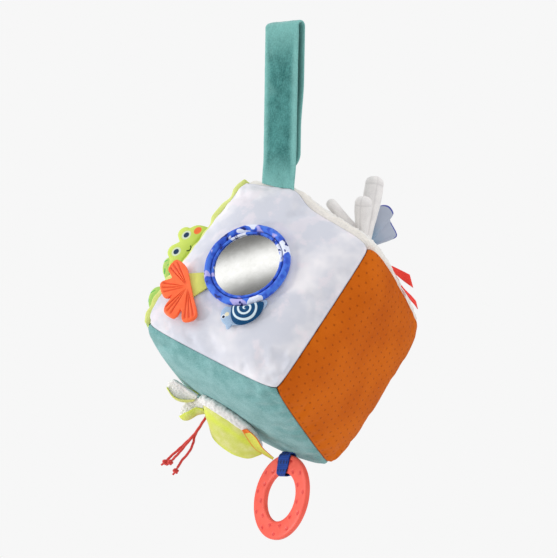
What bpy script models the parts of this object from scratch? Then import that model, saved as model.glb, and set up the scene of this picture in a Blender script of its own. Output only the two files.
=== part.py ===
import math

import bmesh
import bpy
from mathutils import Euler, Matrix, Vector

for leftover in list(bpy.data.objects):
    bpy.data.objects.remove(leftover, do_unlink=True)

# Everything is in metres. The origin is the middle of the bar that the strap's loop goes over,
# +X runs across the strap, -Y faces the mirror side and +Z is up.
clearance = 0.0003

# Block: a stuffed cube, measured seam to seam, whose faces are crowned and whose corners are drawn in
block_half = 0.074
block_turn = Euler([math.radians(angle) for angle in (-31, 21.2, 7.3)])
crown = 0.0125
crown_power = 4
corner_share = 0.036
corner_power = 3
blunt_share = 0.045
blunt_power = 12
stretch_share = 0.019
tug = Vector((0.0116, 0.0102, 0.0098))
tug_reach_share = 2.0
panel_thickness = 0.0016
fill_gap = 0.0006
cushion_segments = 8
slope_step_share = 0.01
sharp_angle = math.radians(40)
display_power = 2.2

# Strap: one band folded over the bar and closed on itself with a hook and a loop patch
strap_width = 0.037
strap_thickness = 0.0024
strap_drop = 0.134
strap_lean = 0.003
loop_radius = 0.004
strap_seat_shares = (-0.85, -0.23)
strap_seam_gap = 0.0007
strap_end_share = 0.4
strap_rise_rows = 5
strap_arc_rows = 8
strap_columns = 4
fold_length = 0.005
tail_length = 0.114
tail_round = 0.014
tail_straight_share = 0.35
tail_close_share = 0.70
tail_rows = 8
tail_end_rows = 5
patch_length = 0.030
patch_width = 0.028
patch_thickness = 0.0009
patch_margin = 0.003

# Mirror: a plate on a backing, held by a padded rim, on a seat of the front panel
mirror_seat_shares = (-0.10, 0.05)
mirror_radius = 0.0285
mirror_lip = 0.0015
mirror_thickness = 0.001
backing_thickness = 0.0015
rim_radius = 0.037
rim_height = 0.006
rim_corner = 0.0022
rim_steps = 40

# Foot: a rubber web of four toes on a flared ribbon, in bearings round the mirror
ribbon_thickness = 0.001
foot_bearing = math.radians(228.6)
foot_ribbon_width = 0.015
foot_ribbon_flare = 0.024
foot_ribbon_reach = 0.0135
foot_thickness = 0.0032
toe_radius = 0.0070
toe_reaches = (0.0268, 0.0238, 0.0275, 0.0295)
toe_bearings = [math.radians(angle) for angle in (161, 214, 267, 306)]
web_reach = 0.0172
foot_blend_share = 4
foot_columns = 44
foot_rows = 3

# Snail: a flat body with a stuffed shell on it, sewn under the mirror's rim
snail_bearing = math.radians(-54)
snail_body_thickness = 0.0016
snail_body_reach = 0.0085
snail_head_radius = 0.0068
snail_head_bearing = math.radians(-80)
snail_tail_bearing = math.radians(-29)
snail_head_reach = 0.0078
shell_spread = math.radians(20)
shell_reach = 0.0145
shell_thickness = 0.0045
snail_columns = 20
snail_rows = 2
shell_columns = 10
shell_rows = 5
snail_edge = 0.0015

# Frog and leaves: flaps that stand on the left panel, side by side with its front seam
frog_seat_shares = (0.75, 0.016)
frog_half_width = 0.0235
frog_cheek_height = 0.005
frog_brow = 0.011
frog_thickness = 0.006
eye_radius = 0.0076
eye_height = 0.0132
eye_offset = 0.00835
frog_columns = 24
standing_rows = 4
standing_gap = 0.0005
seam_half_thickness = 0.0005
seam_swell_share = 0.45
leaf_thickness = 0.0014
leaf_foot = 0.0015
leaf_columns = 10
leaves = {
    "near": {"seat_shares": (0.62, -0.265), "radius": 0.012, "height": 0.018},
    "middle": {"seat_shares": (0.75, -0.66), "radius": 0.0115, "height": 0.0135},
    "far": {"seat_shares": (0.75, -0.905), "radius": 0.0058, "height": 0.0065},
}

# Sewn flaps: each lies between two routes over a face. A point is given as shares of the
# block's half side: across the face, along it, and above it.
fleece_thickness = 0.0022
lining_thickness = 0.0012
flap_columns = 5
flap_rows = 8
petals = {
    "bud": {
        "near_shares": (
            (-0.45, 0.09, 0.023), (-0.62, 0.15, 0.038), (-0.735, 0.18, 0.075), (-0.765, 0.20, 0.135)),
        "far_shares": (
            (-0.43, 0.05, 0.070), (-0.50, 0.09, 0.150), (-0.59, 0.13, 0.205), (-0.72, 0.17, 0.200)),
        "belly": 0.0015,
    },
    "side": {
        "near_shares": (
            (-0.355, -0.03, 0.021), (-0.466, -0.03, 0.064), (-0.537, -0.03, 0.180), (-0.550, -0.035, 0.280)),
        "far_shares": (
            (-0.340, -0.10, 0.105), (-0.395, -0.10, 0.188), (-0.447, -0.10, 0.280), (-0.490, -0.085, 0.320)),
        "belly": 0.001,
    },
    "wide": {
        "near_shares": (
            (-0.225, -0.08, 0.019), (-0.06, -0.12, 0.015), (0.14, -0.18, 0.019), (0.33, -0.25, 0.034),
            (0.44, -0.34, 0.080)),
        "far_shares": (
            (-0.225, -0.19, 0.190), (-0.11, -0.27, 0.300), (0.08, -0.36, 0.325), (0.28, -0.44, 0.285),
            (0.42, -0.44, 0.170)),
        "belly": 0.002,
    },
}
yellow_leaf_thickness = 0.0012
yellow_leaf_near_shares = (
    (0.206, -0.186, 0.072), (0.286, -0.236, 0.131), (0.39, -0.28, 0.185), (0.485, -0.33, 0.190), (0.60, -0.40, 0.195))
yellow_leaf_far_shares = (
    (0.276, -0.166, 0.034), (0.386, -0.206, 0.076), (0.475, -0.26, 0.135), (0.535, -0.31, 0.155), (0.605, -0.385, 0.170))
wing_thickness = 0.0016
wing_near_shares = ((0.43, -0.27, 0.010), (0.475, -0.23, 0.010), (0.52, -0.19, 0.010))
wing_far_shares = (
    (0.30, -0.27, 0.420), (0.356, -0.27, 0.510), (0.44, -0.25, 0.555), (0.52, -0.21, 0.525),
    (0.50, -0.17, 0.455), (0.62, -0.09, 0.390), (0.64, -0.07, 0.350))
wing_columns = 14
wing_rows = 4
red_ribbon_thickness = 0.0008
ribbon_columns = 2
ribbon_rows = 6
red_ribbons = {
    "upper": {
        "near_shares": ((0.79, -0.20, 0.008), (0.929, -0.14, 0.089), (1.067, -0.08, 0.146)),
        "far_shares": ((0.85, -0.15, 0.008), (1.00, -0.08, 0.057), (1.165, -0.02, 0.042)),
    },
    "lower": {
        "near_shares": ((0.855, 0.05, 0.008), (0.951, 0.15, 0.026), (1.106, 0.30, 0.022)),
        "far_shares": ((0.93, 0.08, 0.008), (1.056, 0.20, 0.010), (1.118, 0.34, 0.000)),
    },
}

# Stamens: three cords with a knot at the end of each
cord_diameter = 0.0023
knot_radius = 0.0027
knot_segments = 10
knot_rings = 7
cord_spacing_share = 2.5
stamens = {
    "left": (
        (-0.290, -0.125, 0.012), (-0.284, -0.130, 0.143), (-0.291, -0.140, 0.273), (-0.311, -0.160, 0.403),
        (-0.353, -0.180, 0.516), (-0.400, -0.200, 0.632), (-0.444, -0.210, 0.747), (-0.470, -0.220, 0.850)),
    "right": (
        (-0.302, -0.158, 0.012), (-0.303, -0.160, 0.138), (-0.310, -0.175, 0.268), (-0.316, -0.195, 0.389),
        (-0.296, -0.225, 0.475), (-0.299, -0.260, 0.578), (-0.342, -0.300, 0.703), (-0.346, -0.320, 0.825)),
    "middle": (
        (-0.278, -0.092, 0.012), (-0.266, -0.095, 0.150), (-0.270, -0.105, 0.280), (-0.277, -0.115, 0.407),
        (-0.303, -0.125, 0.530), (-0.321, -0.135, 0.635), (-0.347, -0.145, 0.732), (-0.366, -0.155, 0.795)),
}

# Teething ring: a flat ring hanging in a ribbon that goes round its band
ring_seat_shares = (0.62, -0.57, 0.007)
ring_middle_shares = (0.771, -0.684, 0.459)
ring_facing = Vector((-0.19, -0.97, -0.16))
ring_radius = 0.036
ring_band = 0.0155
ring_thickness = 0.0056
ring_corner = 0.0019
ring_steps = 48
ring_neck = 0.0025
ring_ribbon_width = 0.015
ring_ribbon_thickness = 0.0008
ring_ribbon_gap = 0.0003
ring_ribbon_columns = 3
ring_ribbon_rows = 20

# Limbs: three stuffed fingers, each narrow where it is sewn on
limb_neck_share = 0.36
limb_swell_share = 1.3
limb_around = 12
limb_along = 10
limbs = {
    "left": {"base_shares": (0.38, -0.46, 0.022), "tip_shares": (0.025, -0.67, 0.119), "radius": 0.0050},
    "front": {"base_shares": (0.47, -0.46, 0.034), "tip_shares": (0.397, -0.67, 0.312), "radius": 0.0072},
    "rear": {"base_shares": (0.50, -0.36, 0.035), "tip_shares": (0.27, -0.50, 0.608), "radius": 0.0079},
}

# Each face has its outward way, then the way across it and the way along it, in the block's own frame
faces = {
    "front": (Vector((0, -1, 0)), Vector((1, 0, 0)), Vector((0, 0, 1))),
    "right": (Vector((1, 0, 0)), Vector((0, 1, 0)), Vector((0, 0, 1))),
    "left": (Vector((-1, 0, 0)), Vector((0, -1, 0)), Vector((0, 0, 1))),
    "top": (Vector((0, 0, 1)), Vector((1, 0, 0)), Vector((0, 1, 0))),
    "bottom": (Vector((0, 0, -1)), Vector((1, 0, 0)), Vector((0, -1, 0))),
    "back": (Vector((0, 1, 0)), Vector((-1, 0, 0)), Vector((0, 0, 1))),
}
strap_corner = Vector((-1, -1, 1))

# Base colour as seen, roughness and metallic value
finishes = {
    "strap_velour": ((0.32, 0.56, 0.55), 0.9, 0),
    "hook_tape": ((0.25, 0.45, 0.45), 0.7, 0),
    "lavender_print": ((0.86, 0.86, 0.90), 0.8, 0),
    "orange_mesh": ((0.86, 0.45, 0.13), 0.7, 0),
    "teal_velour": ((0.46, 0.66, 0.67), 0.9, 0),
    "lime_cotton": ((0.86, 0.89, 0.60), 0.85, 0),
    "white_plush": ((0.94, 0.94, 0.93), 0.95, 0),
    "polyester_fibre": ((0.93, 0.93, 0.92), 0.95, 0),
    "mirror_film": ((0.80, 0.81, 0.80), 0.08, 1),
    "backing_sheet": ((0.55, 0.55, 0.55), 0.7, 0),
    "rim_print": ((0.20, 0.35, 0.80), 0.75, 0),
    "ribbon_lime": ((0.84, 0.83, 0.47), 0.6, 0),
    "orange_rubber": ((0.96, 0.38, 0.24), 0.45, 0),
    "snail_blue": ((0.66, 0.76, 0.85), 0.8, 0),
    "shell_blue": ((0.10, 0.29, 0.47), 0.8, 0),
    "frog_green": ((0.68, 0.75, 0.36), 0.8, 0),
    "leaf_green": ((0.60, 0.79, 0.40), 0.8, 0),
    "white_fleece": ((0.82, 0.82, 0.79), 0.95, 0),
    "lime_velour": ((0.81, 0.82, 0.51), 0.9, 0),
    "red_cord": ((0.78, 0.31, 0.27), 0.7, 0),
    "yellow_cotton": ((0.81, 0.80, 0.36), 0.8, 0),
    "blue_ribbon": ((0.13, 0.26, 0.53), 0.6, 0),
    "coral_plastic": ((0.93, 0.41, 0.36), 0.4, 0),
    "grey_velour": ((0.78, 0.77, 0.77), 0.9, 0),
    "wing_satin": ((0.62, 0.64, 0.68), 0.7, 0),
    "red_ribbon": ((0.92, 0.27, 0.24), 0.6, 0),
}


def finish(name):
    material = bpy.data.materials.get(name)
    if material is None:
        colour, roughness, metallic = finishes[name]
        material = bpy.data.materials.new(name)
        material.use_nodes = True
        shader = material.node_tree.nodes["Principled BSDF"]
        shader.inputs["Base Color"].default_value = (*[tone ** display_power for tone in colour], 1)
        shader.inputs["Roughness"].default_value = roughness
        shader.inputs["Metallic"].default_value = metallic
    return material


# Where the block is: a face point by its shares, hung so that its strap seam comes under the loop
def free_spot(face, across, along, lift):
    outward, right_way, up_way = faces[face]
    unit = outward + right_way * across + up_way * along
    held = Vector([max(-1, min(1, value)) for value in unit])
    product = abs(held.x * held.y * held.z)
    drawn = 1 - corner_share * product ** corner_power - blunt_share * product ** blunt_power
    flatness = (1 - min(1, abs(across)) ** crown_power) * (1 - min(1, abs(along)) ** crown_power)
    point = unit * block_half * drawn + outward * (crown * flatness + lift)
    point.rotate(block_turn)
    stretched = Vector((point.x, point.y, point.z))
    stretched *= 1 - stretch_share / 2
    stretched.z = point.z * (1 + stretch_share)
    pull = max(0, 1 - (held - strap_corner).length / tug_reach_share) ** 2
    return stretched + tug * pull


seam_left = free_spot("front", strap_seat_shares[0], 1, 0)
seam_right = free_spot("front", strap_seat_shares[1], 1, 0)
block_centre = -(seam_left + seam_right) / 2 - Vector((strap_lean, loop_radius, strap_drop))


def spot(face, across, along, lift=0):
    return block_centre + free_spot(face, across, along, lift)


def inward(point, depth):
    return block_centre + (point - block_centre) * (1 - depth / block_half)


def share_spot(face, shares):
    return spot(face, shares[0], shares[1], shares[2] * block_half)


# The frame of a seat on a face: X across, Y along and Z straight out
def seat_frame(face, across, along, lift=0):
    step = clearance / block_half
    middle = spot(face, across, along)
    across_way = (spot(face, across + step, along) - spot(face, across - step, along)).normalized()
    along_way = spot(face, across, along + step) - spot(face, across, along - step)
    out = across_way.cross(along_way).normalized()
    return frame_of(middle + out * lift, across_way, out)


def frame_of(origin, x_way, near_z):
    x_way = x_way.normalized()
    z_way = (near_z - x_way * near_z.dot(x_way)).normalized()
    turn = Matrix((x_way, z_way.cross(x_way), z_way)).transposed()
    return Matrix.Translation(origin) @ turn.to_4x4()


def mix(first, second, share):
    return first + (second - first) * share


def ease(share):
    share = max(0, min(1, share))
    return share * share * (3 - 2 * share)


# A smooth curve through its points, as a function of the share gone along it
def smooth_route(points, share):
    last = len(points) - 1
    place = min(max(share, 0), 1) * last
    start = min(int(place), last - 1)
    part = place - start
    before = points[start - 1] if start > 0 else points[start] * 2 - points[start + 1]
    after = points[start + 2] if start + 2 <= last else points[start + 1] * 2 - points[start]
    slope_in = (points[start + 1] - before) / 2
    slope_out = (after - points[start]) / 2
    squared = part * part
    cubed = squared * part
    return (points[start] * (2 * cubed - 3 * squared + 1) + slope_in * (cubed - 2 * squared + part)
            + points[start + 1] * (3 * squared - 2 * cubed) + slope_out * (cubed - squared))


# Objects: hinges are empties on their joint's axis, and pieces hang under them
collection = bpy.data.collections.new("soft_fabric_block")
bpy.context.scene.collection.children.link(collection)
frames = {}


def hinge(name, parent, frame):
    empty = bpy.data.objects.new(name, None)
    empty.empty_display_size = clearance
    if parent:
        empty.parent = bpy.data.objects[parent]
    empty.matrix_basis = frames[parent].inverted() @ frame if parent else frame
    frames[name] = frame
    collection.objects.link(empty)


def piece(name, mesh, parent, material, frame=None):
    if frame is None:
        mesh.transform(frames[parent].inverted())
        frame = frames[parent]
    item = bpy.data.objects.new(name, mesh)
    item.parent = bpy.data.objects[parent]
    item.matrix_basis = frames[parent].inverted() @ frame
    mesh.materials.append(finish(material))
    mesh.shade_smooth()
    mesh.set_sharp_from_angle(angle=sharp_angle)
    collection.objects.link(item)
    return item


def mesh_from(name, work):
    bmesh.ops.recalc_face_normals(work, faces=work.faces[:])
    if work.calc_volume(signed=True) < 0:
        bmesh.ops.reverse_faces(work, faces=work.faces[:])
    mesh = bpy.data.meshes.new(name)
    work.to_mesh(mesh)
    work.free()
    return mesh


# A closed sheet between two surfaces, each a function of the shares gone across and along
def sheet_mesh(name, under, over, columns, rows):
    work = bmesh.new()
    bmesh.ops.create_grid(work, x_segments=columns, y_segments=rows, size=1)
    lower = work.verts[:]
    raised = bmesh.ops.extrude_face_region(work, geom=work.faces[:])["geom"]
    upper = [item for item in raised if isinstance(item, bmesh.types.BMVert)]
    for surface, corners in ((under, lower), (over, upper)):
        for corner in corners:
            corner.co = surface((corner.co.x + 1) / 2, (corner.co.y + 1) / 2)
    return mesh_from(name, work)


def normal_at(surface, across, along):
    left, right = max(0, across - slope_step_share), min(1, across + slope_step_share)
    down, up = max(0, along - slope_step_share), min(1, along + slope_step_share)
    return (surface(right, along) - surface(left, along)).cross(
        surface(across, up) - surface(across, down)).normalized()


# One layer of a sheet, from one height to another along the sheet's normal
def layer_mesh(name, surface, bottom, top, columns, rows):
    def raised(height):
        return lambda across, along: surface(across, along) + normal_at(surface, across, along) * height
    return sheet_mesh(name, raised(bottom), raised(top), columns, rows)


def between_routes(face, near_shares, far_shares, belly=0):
    near = [share_spot(face, shares) for shares in near_shares]
    far = [share_spot(face, shares) for shares in far_shares]

    def surface(across, along):
        first = smooth_route(near, along)
        second = smooth_route(far, along)
        side = (second - first).cross(smooth_route(near, 1) - smooth_route(near, 0)).normalized()
        return mix(first, second, across) + side * belly * math.sin(math.pi * across)
    return surface


# A round piece about its own Z, from a closed outline that runs down its outer side
def turned_piece(name, outline, steps, parent, material, frame):
    mesh = bpy.data.meshes.new(name)
    count = len(outline)
    mesh.from_pydata([(radius, 0, height) for radius, height in outline],
                     [(index, (index + 1) % count) for index in range(count)], [])
    item = piece(name, mesh, parent, material, frame)
    screw = item.modifiers.new("turn", "SCREW")
    screw.steps = steps
    screw.render_steps = steps
    screw.use_merge_vertices = True
    screw.merge_threshold = clearance / 10
    return item


def rounded_band(inner, outer, bottom, top, corner):
    diagonal = corner * (1 - math.sqrt(0.5))
    return ((outer - corner, top), (outer - diagonal, top - diagonal), (outer, top - corner),
            (outer, bottom + corner), (outer - diagonal, bottom + diagonal), (outer - corner, bottom),
            (inner + corner, bottom), (inner + diagonal, bottom + diagonal), (inner, bottom + corner),
            (inner, top - corner), (inner + diagonal, top - diagonal), (inner + corner, top))


def disc(name, radius, bottom, thickness, parent, material, frame):
    work = bmesh.new()
    bmesh.ops.create_cone(work, cap_ends=True, segments=rim_steps, radius1=radius, radius2=radius,
                          depth=thickness)
    bmesh.ops.translate(work, verts=work.verts[:], vec=Vector((0, 0, bottom + thickness / 2)))
    return piece(name, mesh_from(name, work), parent, material, frame)


# Strap: the front layer rises from the seam, goes over the bar and ends just past the fold
def strap_point(offset):
    def surface(across, along):
        step = along * (strap_rise_rows + strap_arc_rows + 1)
        side = mix(-strap_width / 2, strap_width / 2, across)
        if step <= strap_rise_rows:
            seam = spot("front", mix(strap_seat_shares[0], strap_seat_shares[1], across), 1)
            rise = ease(step / strap_rise_rows * 2) if step < 1 else 1
            thinned = offset * mix(strap_end_share, 1, rise)
            height = mix(seam.z + strap_seam_gap, 0, step / strap_rise_rows)
            return Vector((mix(seam.x, side, step / strap_rise_rows), -loop_radius - thinned, height))
        if step <= strap_rise_rows + strap_arc_rows:
            angle = math.pi * (step - strap_rise_rows) / strap_arc_rows
            reach = loop_radius + offset
            return Vector((side, -reach * math.cos(angle), reach * math.sin(angle)))
        return Vector((side, loop_radius + offset, -(fold_length - clearance / 2)))
    return surface


# Tail: behind the front layer, drawn in to it where the patches close the loop
tail_close_gap = strap_thickness + 2 * patch_thickness + 3 * clearance
tail_top = -(fold_length + clearance / 2)
tail_bottom = tail_top - tail_length


def tail_depth(height):
    gone = (tail_top - height) / tail_length
    share = ease((gone - tail_straight_share) / (tail_close_share - tail_straight_share))
    return mix(loop_radius, tail_close_gap - loop_radius, share)


def tail_point(offset):
    def surface(across, along):
        step = along * (tail_rows + tail_end_rows)
        if step <= tail_rows:
            height = mix(tail_top, tail_bottom + tail_round, step / tail_rows)
            half = strap_width / 2
        else:
            angle = math.pi / 2 * (step - tail_rows) / tail_end_rows
            height = tail_bottom + tail_round * (1 - math.sin(angle))
            half = strap_width / 2 - tail_round * (1 - math.cos(angle))
        middle = strap_lean * height / strap_drop
        return Vector((middle + mix(-half, half, across), tail_depth(height) + offset, height))
    return surface


def patch(name, depth, parent):
    work = bmesh.new()
    bmesh.ops.create_cube(work, size=1)
    bmesh.ops.scale(work, verts=work.verts[:], vec=Vector((patch_width, patch_thickness, patch_length)))
    height = tail_bottom + patch_margin + patch_length / 2
    middle = Vector((strap_lean * height / strap_drop, depth, height))
    piece(name, mesh_from(name, work), parent, "hook_tape", Matrix.Translation(middle))


half_strap = strap_thickness / 2
hinge("strap_hold", None, Matrix.Identity(4))
piece("strap", sheet_mesh("strap", strap_point(-half_strap), strap_point(half_strap), strap_columns,
                          strap_rise_rows + strap_arc_rows + 1), "strap_hold", "strap_velour")
hinge("tail_hinge", "strap_hold", Matrix.Translation((0, loop_radius + half_strap, -fold_length)))
piece("strap_tail", sheet_mesh("strap_tail", tail_point(-half_strap), tail_point(half_strap), strap_columns,
                               tail_rows + tail_end_rows), "tail_hinge", "strap_velour")
loop_patch_depth = -loop_radius + half_strap + clearance + patch_thickness / 2
hook_patch_depth = loop_patch_depth + patch_thickness + clearance
patch("loop_patch", loop_patch_depth, "strap_hold")
patch("hook_patch", hook_patch_depth, "tail_hinge")

# Block: six panels with mitred edges round one fill
seam_middle = block_centre + (seam_left + seam_right) / 2
hinge("block_hinge", "strap_hold", frame_of(seam_middle, seam_right - seam_left, Vector((0, 0, 1))))
panel_edge = 1 - clearance / (block_half * math.sqrt(2))
panel_materials = {
    "front": "lavender_print", "right": "orange_mesh", "left": "lime_cotton",
    "top": "white_plush", "bottom": "teal_velour", "back": "lavender_print",
}


def panel_surface(face, depth):
    def surface(across, along):
        point = spot(face, mix(-panel_edge, panel_edge, across), mix(-panel_edge, panel_edge, along))
        return inward(point, depth)
    return surface


for face, material in panel_materials.items():
    name = face + "_panel"
    mesh = sheet_mesh(name, panel_surface(face, panel_thickness), panel_surface(face, 0),
                      cushion_segments, cushion_segments)
    piece(name, mesh, "block_hinge", material)


def fill_mesh():
    work = bmesh.new()
    bmesh.ops.create_cube(work, size=2)
    bmesh.ops.subdivide_edges(work, edges=work.edges[:], cuts=cushion_segments - 1, use_grid_fill=True)
    for corner in work.verts:
        unit = corner.co.copy()
        face = max(faces, key=lambda key: unit.dot(faces[key][0]))
        outward, right_way, up_way = faces[face]
        corner.co = inward(spot(face, unit.dot(right_way), unit.dot(up_way)), panel_thickness + fill_gap)
    return mesh_from("fibre_fill", work)


piece("fibre_fill", fill_mesh(), "block_hinge", "polyester_fibre")

# Mirror, on its seat's frame
mirror_frame = seat_frame("front", *mirror_seat_shares, lift=clearance)
plate_bottom = backing_thickness + clearance
plate_top = plate_bottom + mirror_thickness
groove = mirror_radius + mirror_lip + clearance
disc("mirror_backing", groove - clearance, 0, backing_thickness, "block_hinge", "backing_sheet", mirror_frame)
disc("mirror_plate", groove - clearance, plate_bottom, mirror_thickness, "block_hinge", "mirror_film",
     mirror_frame)
lip_bottom = plate_top + clearance
rim_outline = (
    (rim_radius - 2 * rim_corner, rim_height), (rim_radius - rim_corner, rim_height - rim_corner / 4),
    (rim_radius, rim_height - rim_corner), (rim_radius, rim_corner / 2), (rim_radius - rim_corner / 2, 0),
    (groove, 0), (groove, lip_bottom), (mirror_radius, lip_bottom),
    (mirror_radius, lip_bottom + rim_corner / 4), (groove, rim_height - rim_corner / 4),
    (groove + rim_corner / 2, rim_height))
turned_piece("mirror_rim", rim_outline, rim_steps, "block_hinge", "rim_print", mirror_frame)


def bearing_way(bearing):
    return Vector((math.cos(bearing), math.sin(bearing), 0))


# A flap under the rim swings about the rim's tangent, at its own bearing round the mirror
def rim_hinge(name, bearing, height):
    place = mirror_frame @ (bearing_way(bearing) * (rim_radius + 2 * clearance) + Vector((0, 0, height)))
    tangent = mirror_frame.to_3x3() @ bearing_way(bearing + math.pi / 2)
    hinge(name, "block_hinge", frame_of(place, tangent, mirror_frame.to_3x3().col[2]))


def on_mirror_seat(flat_surface, height):
    return lambda across, along: mirror_frame @ (flat_surface(across, along) + Vector((0, 0, height)))


foot_start = rim_radius + 2 * clearance
rim_hinge("foot_hinge", foot_bearing, ribbon_thickness)
foot_way = bearing_way(foot_bearing)
foot_side = bearing_way(foot_bearing - math.pi / 2)


def ribbon_flat(across, along):
    width = mix(foot_ribbon_width, foot_ribbon_flare, along)
    return foot_way * (foot_start + foot_ribbon_reach * along) + foot_side * width * (across - 0.5)


def toe_reach(bearing, middle_reach, toe_bearing):
    turn = bearing - toe_bearing
    aside = abs(middle_reach * math.sin(turn))
    if math.cos(turn) <= 0:
        return 0
    if aside < toe_radius:
        return middle_reach * math.cos(turn) + math.sqrt(toe_radius ** 2 - aside ** 2)
    return min(toe_radius / abs(math.sin(turn)), middle_reach)


def foot_edge(bearing):
    toes = [toe_reach(bearing, reach, toe) for reach, toe in zip(toe_reaches, toe_bearings)]
    return max(web_reach, *toes)


heel_middle = foot_way * (foot_start + foot_ribbon_reach + clearance)
heel_half = foot_ribbon_flare / 2
foot_first_bearing = foot_bearing - math.pi / 2
foot_last_bearing = foot_bearing + math.pi / 2


def foot_flat(across, along):
    bearing = mix(foot_first_bearing, foot_last_bearing, across)
    heel = heel_middle + foot_side * heel_half * (1 - 2 * across)
    reach = foot_edge(bearing)
    blend = ease(math.sin(math.pi * across) * foot_blend_share)
    tip = heel_middle + bearing_way(bearing) * mix(heel_half, reach, blend)
    return mix(heel, tip, along)


piece("foot_ribbon", sheet_mesh("foot_ribbon", on_mirror_seat(ribbon_flat, clearance),
                                on_mirror_seat(ribbon_flat, clearance + ribbon_thickness),
                                ribbon_columns, ribbon_columns),
      "foot_hinge", "ribbon_lime")
piece("webbed_foot", sheet_mesh("webbed_foot", on_mirror_seat(foot_flat, clearance),
                                on_mirror_seat(foot_flat, clearance + foot_thickness),
                                foot_columns, foot_rows),
      "foot_hinge", "orange_rubber")

# Snail, in bearings round the mirror
shell_bottom = 2 * clearance + snail_body_thickness
rim_hinge("snail_hinge", snail_bearing, shell_bottom + snail_edge)


def snail_base(bearing):
    return foot_start / math.cos(bearing - snail_bearing)


def snail_body_edge(bearing):
    head_centre = foot_start + snail_head_reach
    turn = bearing - snail_head_bearing
    aside = abs(head_centre * math.sin(turn))
    share = (bearing - snail_head_bearing) / (snail_tail_bearing - snail_head_bearing)
    reach = snail_base(bearing) + snail_body_reach * math.sqrt(max(0, 1 - max(0, share) ** 4))
    if aside < snail_head_radius:
        reach = max(reach, head_centre * math.cos(turn) + math.sqrt(snail_head_radius ** 2 - aside ** 2))
    return reach


def snail_body_flat(across, along):
    first = snail_head_bearing - snail_head_radius / (foot_start + snail_head_reach)
    bearing = mix(first, snail_tail_bearing, across)
    start = snail_base(bearing)
    return bearing_way(bearing) * mix(start, max(snail_body_edge(bearing), start + snail_edge), along)


def snail_shell_flat(across, along):
    turn = mix(-1, 1, across)
    reach = max(snail_edge, shell_reach * math.sqrt(1 - turn ** 2))
    bearing = snail_bearing + shell_spread * turn
    return bearing_way(bearing) * (snail_base(bearing) + reach * along)


def snail_shell_top(across, along):
    swell = math.sin(math.pi * along) * math.sin(math.pi * across)
    height = shell_bottom + mix(snail_edge, shell_thickness, swell)
    return mirror_frame @ (snail_shell_flat(across, along) + Vector((0, 0, height)))


piece("snail_body", sheet_mesh("snail_body", on_mirror_seat(snail_body_flat, clearance),
                               on_mirror_seat(snail_body_flat, clearance + snail_body_thickness),
                               snail_columns, snail_rows), "snail_hinge", "snail_blue")
piece("snail_shell", sheet_mesh("snail_shell", on_mirror_seat(snail_shell_flat, shell_bottom), snail_shell_top,
                                shell_columns, shell_rows), "snail_hinge", "shell_blue")


# Frog and leaves stand on the left panel, square to its front seam
def standing_surface(seat_shares, half_width, top_height):
    def surface(offset):
        def point(across, along):
            aside = mix(-half_width, half_width, across)
            height = mix(standing_gap, top_height(aside), along)
            swelled = math.copysign(min(abs(offset), seam_half_thickness + seam_swell_share * height), offset)
            along_shares = seat_shares[1] + aside / block_half
            return spot("left", seat_shares[0] + swelled / block_half, along_shares, height)
        return point
    return surface


def standing_flap(name, seat_shares, half_width, top_height, thickness, columns, material):
    frame = seat_frame("left", *seat_shares)
    rest = frame.to_3x3()
    hinge(name + "_hinge", "block_hinge", frame_of(frame.translation, rest.col[1], rest.col[2]))
    surface = standing_surface(seat_shares, half_width, top_height)
    mesh = sheet_mesh(name, surface(-thickness / 2), surface(thickness / 2), columns, standing_rows)
    piece(name, mesh, name + "_hinge", material)


def frog_top(aside):
    brow = frog_cheek_height + frog_brow * math.sqrt(max(0, 1 - (aside / frog_half_width) ** 2))
    eye_side = abs(abs(aside) - eye_offset)
    if eye_side < eye_radius:
        return max(brow, eye_height + math.sqrt(eye_radius ** 2 - eye_side ** 2))
    return brow


def leaf_top(radius, height):
    return lambda aside: leaf_foot + height * math.sqrt(max(0, 1 - (aside / radius) ** 2))


standing_flap("frog_head", frog_seat_shares, frog_half_width, frog_top, frog_thickness, frog_columns,
              "frog_green")
for which, leaf in leaves.items():
    edge = leaf_top(leaf["radius"], leaf["height"])
    standing_flap("leaf_" + which, leaf["seat_shares"], leaf["radius"], edge, leaf_thickness, leaf_columns,
                  "leaf_green")


# A sewn flap's hinge runs through the base of its routes, from the near one to the far one
def base_hinge(name, parent, surface):
    near, far = surface(0, 0), surface(1, 0)
    hinge(name, parent, frame_of((near + far) / 2, far - near, surface(0, 1) - near))


for which, petal in petals.items():
    surface = between_routes("bottom", petal["near_shares"], petal["far_shares"], petal["belly"])
    base_hinge(which + "_petal_hinge", "block_hinge", surface)
    half_gap = clearance / 2
    fleece = layer_mesh("fleece", surface, -half_gap - fleece_thickness, -half_gap, flap_columns, flap_rows)
    lining = layer_mesh("lining", surface, half_gap, half_gap + lining_thickness, flap_columns, flap_rows)
    piece(which + "_petal_fleece", fleece, which + "_petal_hinge", "white_fleece")
    piece(which + "_petal_lining", lining, which + "_petal_hinge", "lime_velour")


def single_flap(name, parent, surface, thickness, columns, rows, material):
    mesh = layer_mesh(name, surface, -thickness / 2, thickness / 2, columns, rows)
    piece(name, mesh, parent, material)


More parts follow.
